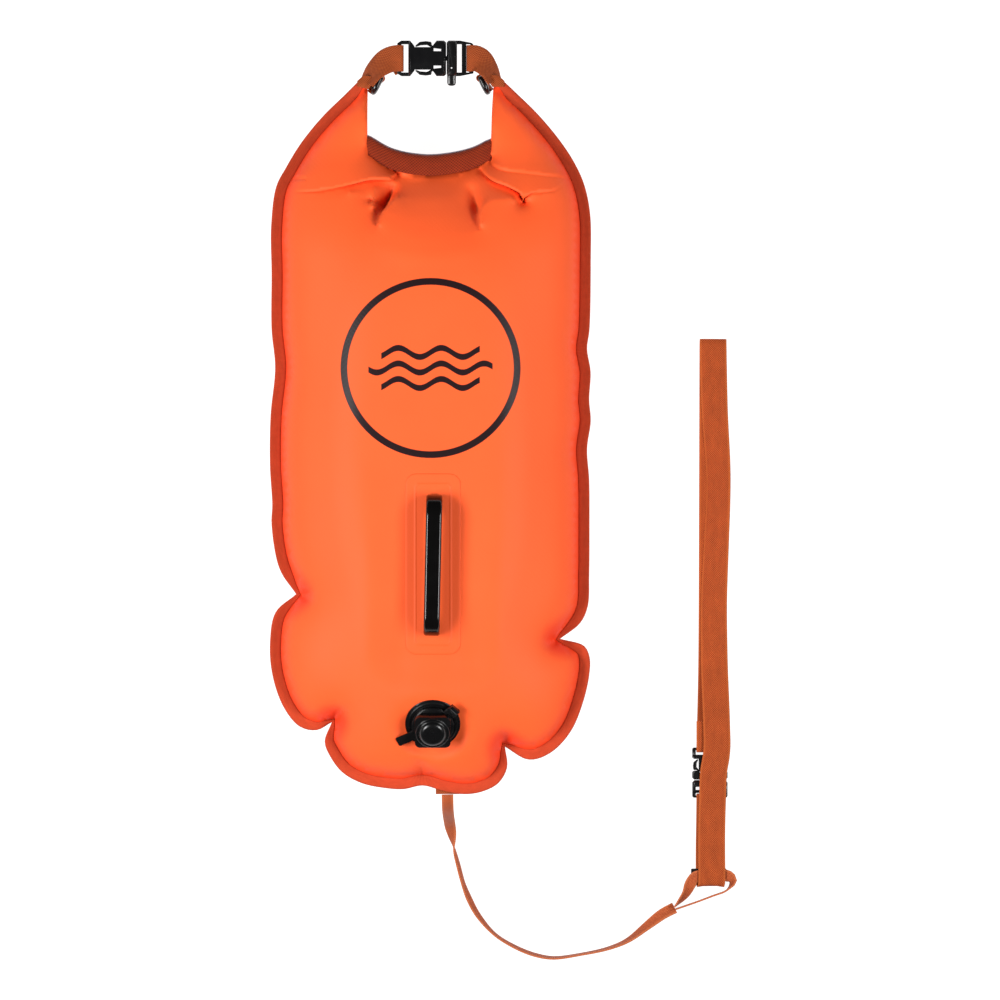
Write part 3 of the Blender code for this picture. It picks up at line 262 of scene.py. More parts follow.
# How much a webbing's selvage covers, from where to where in from its edge
SELVAGE_COVER = 0.55
SELVAGE_FROM = 0.0022
SELVAGE_TO = 0.0012


def webbing_look(name, colours, along=0.0021, across=0.0021, selvage=None):
    """Woven strap in a slow mottle, its colour following the threads' height:
    painted shade in the gaps and painted highlight on the thread tops. The
    colours are of the gaps, the threads and their tops; selvage is half the
    strap's width."""
    made, tree, shader = new_material(name, Roughness=0.8, Sheen_Weight=0.08,
                                      Sheen_Roughness=0.45, Specular_IOR_Level=0.15)
    place = add_node(tree, "UVMap", uv_map="webbing").outputs[0]
    weave = use_group(tree, WEAVE, Place=place, Along_Pitch=along, Across_Pitch=across)
    dark, plain, light = [(*colour, 1) for colour in colours]
    # Painted shade and highlight: the colour follows the threads' height, dark in the gaps and
    # light on the tops
    threads = add_node(tree, "ValToRGB", {0: weave.outputs["Thread"]})
    points = threads.color_ramp.elements
    points[0].position, points[0].color = 0.12, dark
    points[1].position, points[1].color = 0.5, plain
    points.new(0.9).color = light
    shade = maths(tree, "MULTIPLY_ADD", weave.outputs["Shade"], 0.5, 0.75)
    colour = blend_colour(tree, 1.0, threads.outputs[0], shade, "MULTIPLY")
    if selvage:
        out = maths(tree, "ABSOLUTE", parts_of(tree, place)["Y"])
        edge = ramp(tree, out, selvage - SELVAGE_FROM, selvage - SELVAGE_TO)
        colour = blend_colour(tree, maths(tree, "MULTIPLY", edge, SELVAGE_COVER), colour, light)
    tree.links.new(colour, shader.inputs["Base Color"])
    add_bump(tree, shader, weave.outputs["Thread"], 0.0003, 0.7)
    return made


def plastic_look(name, colour, roughness, depth=0.00003):
    """Moulded plastic with a faint spark texture and uneven gloss."""
    made, tree, shader = new_material(name, Base_Color=(*colour, 1), Specular_IOR_Level=0.4)
    grain = use_group(tree, GRAIN, Grain_Size=0.0005, Patch_Size=0.012)
    rough = maths(tree, "MULTIPLY_ADD", grain.outputs["Patches"], 0.14, roughness - 0.07)
    tree.links.new(rough, shader.inputs["Roughness"])
    add_bump(tree, shader, grain.outputs["Grain"], depth)
    return made


def film_look(name, dark, light):
    """Thin cloudy film of the bag's inside."""
    made, tree, shader = new_material(name, Roughness=0.5)
    grain = use_group(tree, GRAIN, Grain_Size=0.0004, Patch_Size=0.006)
    colour = blend_colour(tree, grain.outputs["Patches"], (*dark, 1), (*light, 1))
    tree.links.new(colour, shader.inputs["Base Color"])
    return made


# Colours of each webbing: its gaps, with painted shade, its threads, and the thread tops, with
# painted highlight
CLOSURE_COLOURS = ((0.147, 0.019, 0.0036), (0.257, 0.045, 0.009), (0.367, 0.085, 0.020))
BELT_COLOURS = ((0.164, 0.017, 0.003), (0.283, 0.043, 0.008), (0.427, 0.097, 0.019))
LEASH_COLOURS = ((0.19, 0.026, 0.006), (0.32, 0.055, 0.014), (0.46, 0.13, 0.045))
MOUTH_COLOURS = ((0.086, 0.0055, 0.0006), (0.190, 0.017, 0.0024), (0.235, 0.026, 0.004))
closure_webbing = webbing_look("closure_webbing", CLOSURE_COLOURS)
belt_webbing = webbing_look("belt_webbing", BELT_COLOURS, selvage=BELT_WIDTH / 2)
leash_webbing = webbing_look("leash_webbing", LEASH_COLOURS, across=0.0016,
                             selvage=LEASH_WIDTH / 2)
mouth_webbing = webbing_look("mouth_webbing", MOUTH_COLOURS, along=0.0030, across=0.0027)
liner_film = film_look("liner_film", (0.30, 0.28, 0.34), (0.46, 0.43, 0.50))
black_plastic = plastic_look("black_plastic", (0.0032, 0.0032, 0.0036), 0.25)
handle_plastic = plastic_look("handle_plastic", (0.0018, 0.0016, 0.0016), 0.17, depth=0.000006)
valve_plastic = plastic_look("valve_plastic", (0.0028, 0.0027, 0.003), 0.26)
seal_rubber = plastic_look("seal_rubber", (0.02, 0.02, 0.02), 0.7, depth=0.00002)


# Shapes


def new_piece(name, bm, smooth=None):
    """An object from a mesh under work. With smooth, the angle from which an
    edge stays sharp, its faces are turned outwards and shaded."""
    mesh = bpy.data.meshes.new(name)
    if smooth is not None:
        bmesh.ops.recalc_face_normals(bm, faces=bm.faces)
    bm.to_mesh(mesh)
    bm.free()
    if smooth is not None:
        mesh.shade_smooth()
        if smooth < 180:
            mesh.set_sharp_from_angle(angle=math.radians(smooth))
    made = bpy.data.objects.new(name, mesh)
    scene.collection.objects.link(made)
    return made


def finish_piece(piece, look, *nodes, body="bag", slot=None, place=None):
    """Sets a piece in its place, on its body and in its material."""
    if place is not None:
        piece.data.transform(place)
    piece.data.materials.clear()
    piece.data.materials.append(look)
    if nodes:
        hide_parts(*nodes)
    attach(piece, body)


def next_of(ring):
    """Each point of a closed ring with the one after it."""
    return zip(ring, ring[1:] + ring[:1])


def join_rings(bm, layer, rings, reach, across):
    """Faces between closed rings of points. Their UV map is in metres: along
    the rings, and across from point to point."""
    for i in range(len(rings) - 1):
        pairs = zip(next_of(rings[i]), next_of(rings[i + 1]))
        for k, ((a, b), (c, d)) in enumerate(pairs):
            face = bm.faces.new((a, b, d, c))
            for loop, (r, n) in zip(face.loops, ((i, k), (i, k + 1), (i + 1, k + 1), (i + 1, k))):
                loop[layer].uv = (reach[r], across[n])


def ribbon(name, rows, width, thickness):
    """Webbing with rounded edges along rows of (x, y, z, wx, wy, wz): place
    and the direction of its width. Its UV map is in metres: along, across."""
    half, deep = width / 2, thickness / 2
    soft = thickness * 0.3
    profile = [(-half, 0), (-half + soft * 0.3, -deep * 0.7), (-half + soft, -deep)]
    profile += [(half * k, -deep) for k in (-0.6, -0.2, 0.2, 0.6)]
    profile += [(half - soft, -deep), (half - soft * 0.3, -deep * 0.7), (half, 0)]
    profile += [(-a, -b) for a, b in profile[1:-1]]
    bm = bmesh.new()
    layer = bm.loops.layers.uv.new("webbing")
    rings = []
    for i, row in enumerate(rows):
        here = Vector(row[:3])
        ahead = Vector(rows[min(i + 1, len(rows) - 1)][:3])
        behind = Vector(rows[max(i - 1, 0)][:3])
        along = (ahead - behind).normalized()
        wide = Vector(row[3:6])
        wide = (wide - along * wide.dot(along)).normalized()
        up = wide.cross(along).normalized()
        rings.append([bm.verts.new(here + wide * a + up * b) for a, b in profile])
    reach = lengths_along(np.array(rows, float)[:, :3])
    join_rings(bm, layer, rings, reach, [a for a, b in profile + profile[:1]])
    for ring, place in ((rings[0], reach[0]), (rings[-1][::-1], reach[-1])):
        for loop in bm.faces.new(ring[::-1]).loops:
            loop[layer].uv = (place, 0)
    return new_piece(name, bm, 50)


def seam_pad(name, plan, half, edge):
    """Sewn flat piece: a plan outline, thick by half above and below the
    seam's height, edges eased. Its UV map is its plan in metres."""
    bm = bmesh.new()
    layer = bm.loops.layers.uv.new("webbing")
    under, over = [[bm.verts.new((x, y, seam_z(y) + lift)) for x, y in plan]
                   for lift in (-half, half)]
    bm.faces.new(over)
    bm.faces.new(under[::-1])
    for (a, b), (c, d) in zip(next_of(under), next_of(over)):
        bm.faces.new((a, b, d, c))
    bmesh.ops.recalc_face_normals(bm, faces=bm.faces)
    bmesh.ops.bevel(bm, geom=bm.edges[:], offset=edge, segments=2, affect="EDGES",
                    profile=0.5)
    for face in bm.faces:
        for loop in face.loops:
            loop[layer].uv = loop.vert.co.xy
    return new_piece(name, bm, 50)


def pick(kind, test):
    """In edit mode, selects the faces or edges that pass a test."""
    bpy.ops.mesh.select_mode(type=kind)
    bpy.ops.mesh.select_all(action="DESELECT")
    shape = bpy.context.edit_object.data
    bm = bmesh.from_edit_mesh(shape)
    for part in {"FACE": bm.faces, "EDGE": bm.edges}[kind]:
        if test(part):
            part.select_set(True)
    bmesh.update_edit_mesh(shape)


def way(edge):
    return (edge.verts[1].co - edge.verts[0].co).normalized()


def middle(part):
    return sum((v.co for v in part.verts), Vector()) / len(part.verts)


def upright(edge):
    return abs(way(edge).z) > 0.9


def faces_up(face, beyond):
    return face.normal.z > 0.9 and middle(face).x > beyond


def switch_to(mode):
    bpy.ops.object.mode_set(mode=mode)


def round_edges(width, steps, test, clamp=False):
    """In edit mode, rounds the edges that pass a test."""
    pick("EDGE", test)
    bpy.ops.mesh.bevel(offset=width, segments=steps, affect="EDGES", clamp_overlap=clamp)


def raise_faces(height, test):
    """In edit mode, extrudes the faces that pass a test along Z."""
    pick("FACE", test)
    bpy.ops.mesh.extrude_region_move(TRANSFORM_OT_translate={"value": (0, 0, height)})


def cut_round(axis, place):
    """In edit mode, cuts the faces all round at a place on an axis."""
    bpy.ops.mesh.select_all(action="SELECT")
    bpy.ops.mesh.bisect(plane_co=Vector(axis) * place, plane_no=axis)


def only(piece):
    """Leaves edit mode, and makes a piece the selected and active one."""
    if bpy.context.mode != "OBJECT":
        switch_to("OBJECT")
    bpy.ops.object.select_all(action="DESELECT")
    piece.select_set(True)
    bpy.context.view_layer.objects.active = piece


def block(name, low, high):
    """A cube primitive at its size and place, left in edit mode."""
    bpy.ops.mesh.primitive_cube_add(size=1)
    made = bpy.context.object
    made.name = made.data.name = name
    made.scale = [b - a for a, b in zip(low, high)]
    made.location = [(a + b) / 2 for a, b in zip(low, high)]
    bpy.ops.object.transform_apply(location=True, rotation=True, scale=True)
    switch_to("EDIT")
    return made


def turned(name, profile, steps=64, closed=False):
    """Turned about its own Z axis: a circle extruded and widened along a
    profile of (radius, height) in mm, capped or brought back to its start."""
    rows = [(r * MM, z * MM) for r, z in profile]
    bpy.ops.mesh.primitive_circle_add(vertices=steps, radius=rows[0][0],
                                      location=(0, 0, rows[0][1]))
    made = bpy.context.object
    made.name = made.data.name = name
    bpy.ops.object.transform_apply(location=True, rotation=True, scale=True)
    switch_to("EDIT")
    bpy.ops.mesh.select_all(action="SELECT")
    for (r0, z0), (r1, z1) in zip(rows, rows[1:] + rows[:1] * closed):
        bpy.ops.mesh.extrude_edges_move(TRANSFORM_OT_translate={"value": (0, 0, z1 - z0)})
        bpy.ops.transform.resize(value=(r1 / r0, r1 / r0, 1), center_override=(0, 0, z1))
    bpy.ops.mesh.select_all(action="SELECT")
    bpy.ops.mesh.remove_doubles(threshold=0.000001)
    if not closed:
        bpy.ops.mesh.fill_holes(sides=0)
    bpy.ops.mesh.select_all(action="SELECT")
    bpy.ops.mesh.normals_make_consistent(inside=False)
    switch_to("OBJECT")
    return made


def modify(piece, kind, **settings):
    """Adds a modifier to a piece and applies it."""
    only(piece)
    made = piece.modifiers.new(kind.lower(), kind)
    for key, value in settings.items():
        setattr(made, key, value)
    bpy.ops.object.modifier_apply(modifier=made.name)


def join_shape(piece, other, operation="UNION"):
    """Adds another solid to a piece, or cuts it away."""
    modify(piece, "BOOLEAN", operation=operation, solver="EXACT", object=other)
    bpy.data.objects.remove(other)


def ease(piece, width, steps=2, angle=32, smooth=38):
    """Rounds the sharp edges of a moulding and shades it."""
    only(piece)
    if width:
        modify(piece, "BEVEL", width=width, segments=steps, limit_method="ANGLE",
               angle_limit=math.radians(angle))
    bpy.ops.object.shade_smooth_by_angle(angle=math.radians(smooth))
    piece.select_set(False)


def node_copy(name, node):
    """The shape of a CAD node as one closed mesh of flat faces."""
    bm = bmesh.new()
    bm.from_mesh(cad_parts[node].data)
    bmesh.ops.remove_doubles(bm, verts=bm.verts, dist=0.000001)
    bmesh.ops.dissolve_limit(bm, angle_limit=math.radians(0.4), verts=bm.verts, edges=bm.edges)
    return new_piece(name, bm)


def height_finder(mesh):
    """A search tree over a mesh, for rays from above."""
    return BVHTree.FromPolygons([v.co for v in mesh.vertices],
                                [tuple(f.vertices) for f in mesh.polygons])


def hit_from_above(tree, x, y):
    """Place and normal of the highest face over a place on the plan."""
    return tree.ray_cast(Vector((x, y, 1)), Vector((0, 0, -1)))[:2]


# Camera


def camera():
    data = bpy.data.cameras.new("camera")
    data.sensor_width = SENSOR
    data.lens = SENSOR * PHOTO_DISTANCE / PHOTO_SPAN
    data.clip_end = 100
    made = bpy.data.objects.new("camera", data)
    made.location = CAMERA_PLACE
    scene.collection.objects.link(made)
    scene.camera = made


camera()


# Leash

# Down from the seam: places and the direction of the webbing's width
LEASH_DROP = [
    (0.0160, -0.3545, 0.0702, 1, 0, 0), (0.0161, -0.3600, 0.0690, 1, 0, 0),
    (0.0163, -0.3680, 0.0600, 1, 0, 0), (0.0168, -0.3745, 0.0450, 1, 0, 0.1),
    (0.0175, -0.3800, 0.0280, 1, 0, 0.2), (0.0186, -0.3875, 0.0145, 0.9, 0, 0.4),
    (0.0200, -0.3960, 0.0085, 0.6, 0, 0.8),
]
# Along the floor: places and how far the webbing leans from flat, in degrees
LEASH_FLOOR = [
    (0.0222, -0.4080, 84), (0.0263, -0.4239, 74), (0.0305, -0.4395, 74),
    (0.0357, -0.4531, 65), (0.0442, -0.4691, 68), (0.0606, -0.4879, 79),
    (0.0823, -0.5010, 77), (0.1001, -0.5076, 77), (0.1161, -0.5100, 80),
    (0.1410, -0.5067, 83), (0.1674, -0.5010, 79), (0.1857, -0.4935, 70),
    (0.2045, -0.4794, 46), (0.2186, -0.4688, 22), (0.2301, -0.4628, 12),
]
LEASH_CLEARANCE = 0.0004
LEASH_LOOP_ROUTE = [
    (0.2300, -0.4619, 0.0066, 0, 0, 1), (0.2410, -0.4490, 0.0068, -0.5, 0.5, 0.7),
    (0.2450, -0.4400, 0.0071, -0.5, 0.8, 0.1), (0.2500, -0.4335, 0.0071, -0.1, 1, 0),
    (0.2560, -0.4325, 0.0071, 0, 1, 0), (0.2660, -0.4318, 0.0071, 0, 1, 0),
    (0.2760, -0.4318, 0.0071, 0, 1, 0), (0.2805, -0.4328, 0.0071, 0.1, 1, 0),
    (0.2850, -0.4375, 0.0070, 0.6, 0.3, 0.74),
    (0.2795, -0.4460, 0.0068, 0, 0, 1), (0.2660, -0.4515, 0.0066, 0, 0, 1),
    (0.2500, -0.4575, 0.0065, 0, 0, 1), (0.2310, -0.4641, 0.0066, 0, 0, 1),
]


def leash_route():
    """Rows of the leash down from the seam and along the floor, its lower
    edge a little above it."""
    rows = list(LEASH_DROP)
    plan = [Vector(row[:2]) for row in LEASH_DROP[-1:] + LEASH_FLOOR]
    for k, (x, y, lean) in enumerate(LEASH_FLOOR, 1):
        along = (plan[min(k + 1, len(plan) - 1)] - plan[k - 1]).normalized()
        flat, steep = math.cos(math.radians(lean)), math.sin(math.radians(lean))
        rise = (LEASH_WIDTH * steep + WEBBING * flat) / 2
        rows.append((x, y, rise + LEASH_CLEARANCE, along.y * flat, -along.x * flat, steep))
    return rows


leash_rows = leash_route()
leash = ribbon("leash_webbing", smooth_route(leash_rows, 0.004), LEASH_WIDTH, WEBBING)
leash_end = ribbon("leash_end_webbing", smooth_route(LEASH_LOOP_ROUTE, 0.003), LEASH_WIDTH,
                   WEBBING)
finish_piece(leash, leash_webbing, "leash")
finish_piece(leash_end, leash_webbing, "leash_end_loop")
leash_path = smooth_route(leash_rows, 0.02)[:, :3]


# Bag shell

# The binding's width, less at its two ends and beside a notch of the edge
TAPE_WIDTH = 0.010
TAPE_END_SHARE = 0.55
TAPE_GAIN = 0.45
TAPE_TAPER = 0.020
NOTCH_TUCK = 0.58
NOTCH_REACH = 0.015
# How far the skin lies inside the edge: under the binding, round the mouth,
# and where it starts to swell beside the binding
SHELL_INSET = 0.0016
MOUTH_INSET = 0.0003
SWELL_GAP = 0.0003
# Steps of the skin's grid, and how near a fold the fine one starts
PLAIN_STEP = 0.0055
FINE_STEP = 0.0022
CREASE_REACH = 0.011
# Height of the skin's edge over the seam along the mouth, and on the flaps
# beside it: more on the left one, and less from FLAP_FALL up to the horn
MOUTH_LIFT = 0.0165
FLAP_LIFT = 0.0225
FLAP_GAIN = 0.0030
RIGHT_FLAP_DROP = 0.0035
FLAP_START = 0.245
FLAP_FALL = 0.272
HORN_TIP = 0.313
FLAP_CORNER = (0.0005, 0.012)
MOUTH_TOP = 0.25
# The well that the valve's barrel hangs in
WELL_RADII = (0.0136, 0.0142)
WELL_DEPTH = 0.024
# Painted shade on the cloth beside the seam: from and to where in from the edge
SEAM_SHADE = (0.0095, 0.0215)
# Height over which the back flattens onto the floor
FLOOR_SOFTNESS = 0.006
# The front between the flaps: the top of the mouth's edge, the middle row and
# half its width, how far down it is evened and from where that fades, and how
# far aside it is flat, then followed near the mouth, and more further down
MOUTH_EDGE_TOP = 0.2455
MOUTH_ROW_X = -0.0005
MOUTH_ROW_HALF = 0.004
MOUTH_DEPTH = 0.13
MOUTH_FADE = (0.080, 0.115)
FLAT_ASIDE = 0.0205
ASIDE = 0.0400
ASIDE_GAIN = 0.0310
ASIDE_GROWS = (0.022, 0.050)
# Half sizes of the skin that is matched to the frame's panel under the handle,
# then of what moves fully with it, and how far the rest follows
HANDLE_MATCH = (0.028, 0.088)
HANDLE_HOLD = (0.026, 0.084)
HANDLE_FADE = 0.040
# How fast the skin rises at each level of the even film: steep at the seam and
# on the shoulders, nearly flat on the front
LEVELS = np.linspace(0, 1, 201)
FULLNESS = np.interp(LEVELS, (0, 0.35, 0.55, 0.65, 0.73, 0.83, 0.90, 1),
                     (1.35, 1.1, 0.94, 1.08, 1.32, 1.05, 0.36, 0.14))
FULLNESS = np.concatenate([[0], np.cumsum(FULLNESS[1:] + FULLNESS[:-1])])
FULLNESS /= FULLNESS[-1]
# Lift of the skin's middle against the distance below the mouth's edge
MOUTH_SLOPE = ((0, 0.024, 0.0405, 0.059, 0.078, 0.1145),
               (0.0165, 0.0392, 0.0500, 0.0596, 0.0666, 0.0722))

# Folds of the skin along pixels of the photograph: half width in mm, then
# places, each with the shares of the free height kept on the line's left, in
# its groove and on its right. One share alone is a plain crease
FRONT_FOLDS = [
    (0.9, [(294, 193, 0.95, 0.93, 0.94), (304, 192.8, 0.96, 0.88, 0.93),
           (320, 192, 0.97, 0.80, 0.90), (338, 189.2, 0.98, 0.70, 0.86),
           (354, 185.5, 0.99, 0.58, 0.80), (367, 182, 0.99, 0.50, 0.74),
           (381, 181, 0.96, 0.50, 0.66), (391, 181, 0.90, 0.52, 0.62)]),
    (1.5, [(391, 181, 0.92, 0.52, 0.62), (395.5, 177, 0.86, 0.55, 0.60),
           (393, 171, 0.72, 0.5, 0.52), (385, 164, 0.7, 0.5, 0.5)]),
    (0, [(394, 187, 0.50), (391.5, 195, 0.34), (387.5, 204, 0.28), (381.5, 214, 0.62),
         (376, 227, 0.90)]),
    (0, [(398, 199, 0.93), (390, 206, 0.96), (384, 213, 0.98), (379.5, 226, 1.0)]),
    (0, [(376, 190, 0.78), (374.5, 198, 0.80), (372.5, 208, 0.88)]),
    (0, [(350, 194.6, 0.92), (365, 198, 0.80), (376, 204, 0.58)]),
    (1.0, [(481, 169.5, 0.80, 0.60, 0.58), (486, 177, 0.90, 0.55, 0.64),
           (495, 183.5, 0.96, 0.52, 0.72), (507, 188, 0.99, 0.54, 0.76),
           (516, 192.5, 0.99, 0.50, 0.76), (520.5, 198, 0.92, 0.44, 0.68),
           (523.5, 203, 0.66, 0.42, 0.62)]),
    (1.0, [(523.5, 203, 0.66, 0.42, 0.62), (527.5, 197.5, 0.95, 0.62, 0.84),
           (534, 194.3, 0.98, 0.80, 0.92), (544, 193, 0.985, 0.90, 0.95),
           (554, 191.5, 0.98, 0.93, 0.96), (562, 187, 0.98, 0.95, 0.97)]),
    (0, [(469, 184, 0.68), (473, 195, 0.56), (476.5, 206, 0.53), (478.5, 217, 0.70),
         (478.5, 232, 0.93)]),
    (0, [(481, 226, 1.0), (480.5, 214, 0.98), (484, 206, 0.97), (494, 202, 0.98),
         (507, 201, 0.98), (516, 203, 0.92)]),
    (1.2, [(491, 158, 0.80, 0.66, 0.64), (494, 167, 0.90, 0.76, 0.79),
           (505, 171.5, 0.95, 0.87, 0.89), (524, 174, 0.98, 0.93, 0.94),
           (545, 176.5, 0.99, 0.94, 0.95), (562, 178.5, 0.98, 0.91, 0.93),
           (572, 184, 0.95, 0.86, 0.90)]),
    (1.0, [(284, 182, 0.86, 0.74, 0.84), (287, 176, 1.0, 0.78, 0.94),
           (291, 168, 1.02, 0.86, 0.98)]),
    (1.0, [(284, 187, 0.86, 0.74, 0.84), (290, 182, 0.98, 0.78, 0.93),
           (297, 179.5, 1.02, 0.84, 0.98), (306, 179.5, 1.0, 0.93, 0.98)]),
    (1.0, [(284, 196, 0.9, 0.8, 0.88), (287, 189, 1.0, 0.84, 0.95),
           (291, 186, 1.0, 0.9, 0.97)]),
    (1.0, [(568, 178, 0.98, 0.84, 0.93), (575, 184, 0.94, 0.76, 0.88),
           (580, 192, 0.88, 0.7, 0.84)]),
    (0, [(301, 595, 0.30), (306, 595.6, 0.55), (313, 596.5, 0.88)]),
    (0, [(334, 722, 0.3), (337, 714, 0.55), (344, 710.5, 0.78), (350, 709, 0.93)]),
    (0, [(557, 640, 0.30), (551, 641.5, 0.62), (545, 642, 0.90)]),
    (0, [(506, 741, 0.3), (505.4, 736, 0.6), (505, 731, 0.90)]),
    (0, [(423, 779, 0.25), (421.5, 770, 0.55), (418, 762, 0.85)]),
]
BACK_FOLDS = FRONT_FOLDS[-5:]


def share_place(share):
    """Place on the plan of a share of half the width and of the length."""
    return share[0] * BAG_WIDTH / 2, share[1] * BAG_LENGTH - OVERALL_LENGTH / 2


def share_line(shares, step):
    return smooth_line([(*share_place(p), len(p) > 2) for p in shares], step)


def left_of(ahead):
    """Unit directions to the left of the given ones."""
    ahead = ahead / np.linalg.norm(ahead, axis=1)[:, None]
    return np.stack([-ahead[:, 1], ahead[:, 0]], axis=1)


def inward(loop):
    """Unit inward directions of a closed loop that runs anticlockwise."""
    left = left_of(np.roll(loop, -1, axis=0) - loop)
    both = left + np.roll(left, 1, axis=0)
    return both / np.linalg.norm(both, axis=1)[:, None]


def distances(points, targets):
    """Distance from each point to each target, on the plan."""
    return np.hypot(points[:, 0, None] - targets[None, :, 0],
                    points[:, 1, None] - targets[None, :, 1])


def nearest(points, targets):
    """Distance from each point to the closest target, a few at a time."""
    some = 64
    gaps = [distances(points, targets[k:k + some]).min(axis=1)
            for k in range(0, len(targets), some)]
    return np.min(gaps, axis=0)


bound = share_line(BOUND_SHARES, 0.004)
mouth = share_line(MOUTH_SHARES, 0.004)
outline = np.vstack([bound, mouth])
inner_way = inward(outline)
run = lengths_along(bound)
to_end = np.minimum(run, run[-1] - run)
tape_width = TAPE_WIDTH * (TAPE_END_SHARE + TAPE_GAIN * np.clip(to_end / TAPE_TAPER, 0, 1))
notches = np.array([share_place(p) for p in BOUND_SHARES if len(p) > 2])
tape_width *= 1 - NOTCH_TUCK * np.exp(-(nearest(bound, notches) / NOTCH_REACH)**2)
edge_inset = np.full(len(outline), MOUTH_INSET)
edge_inset[:len(bound)] = SHELL_INSET
flat_inset = edge_inset.copy()
flat_inset[:len(bound)] = tape_width + SWELL_GAP
shell_edge = outline + inner_way * edge_inset[:, None]
flat_edge = outline + inner_way * flat_inset[:, None]
corner_right, corner_left = share_place(MOUTH_SHARES[3]), share_place(MOUTH_SHARES[8])


def edge_lift():
    """Height of the skin's edge over the seam, at each point of the outline."""
    x, y = outline[:, 0], outline[:, 1]
    lift = FLAP_LIFT + FLAP_GAIN * smoothstep(FLAP_START, FLAP_FALL, y)
    lift -= RIGHT_FLAP_DROP * (x > 0)
    lift *= 1 - smoothstep(FLAP_FALL, HORN_TIP, y)
    from_corner = np.minimum(corner_right[0] - x, x - corner_left[0])
    lift += (MOUTH_LIFT - FLAP_LIFT) * smoothstep(*FLAP_CORNER, from_corner) * (y < MOUTH_TOP)
    lift[:len(bound) + 1] = 0.0
    lift[-1] = 0.0
    return lift


mouth_lift = edge_lift()


def inside(loop, points):
    """Which of the points lie in a closed loop."""
    hit = np.zeros(len(points), bool)
    px, py = points[:, 0], points[:, 1]
    for (x1, y1), (x2, y2) in zip(loop, np.roll(loop, -1, axis=0)):
        if y1 == y2:
            continue
        crosses = (y1 > py) != (y2 > py)
        hit ^= crosses & (px < x1 + (py - y1) * (x2 - x1) / (y2 - y1))
    return hit


def hex_grid(step):
    points = []
    y, row = -OVERALL_LENGTH / 2, 0
    while y < OVERALL_LENGTH / 2:
        xs = np.arange(-BAG_WIDTH / 2 + (row % 2) * step / 2, BAG_WIDTH / 2, step)
        points.append(np.stack([xs, np.full(len(xs), y)], axis=1))
        y += step * math.sqrt(3) / 2
        row += 1
    return np.vstack(points)


def valve_circle(radius, steps):
    turns = np.arange(steps) * 2 * math.pi / steps
    return np.stack([VALVE.x + radius * np.cos(turns),
                     VALVE.y + radius * math.cos(VALVE_TILT) * np.sin(turns)], axis=1)


def fold_lines(wide, points):
    """The lines that one fold pins, each with the share that it keeps."""
    rows = smooth_line([(*photo(x, y), *keep, False) for x, y, *keep in points], FINE_STEP)
    if wide == 0:
        return [rows]
    left = left_of(np.gradient(rows[:, :2], axis=0)) * wide * MM
    return [np.column_stack([rows[:, :2] + left * side, rows[:, column]])
            for side, column in ((1, 2), (0, 3), (-1, 4))]


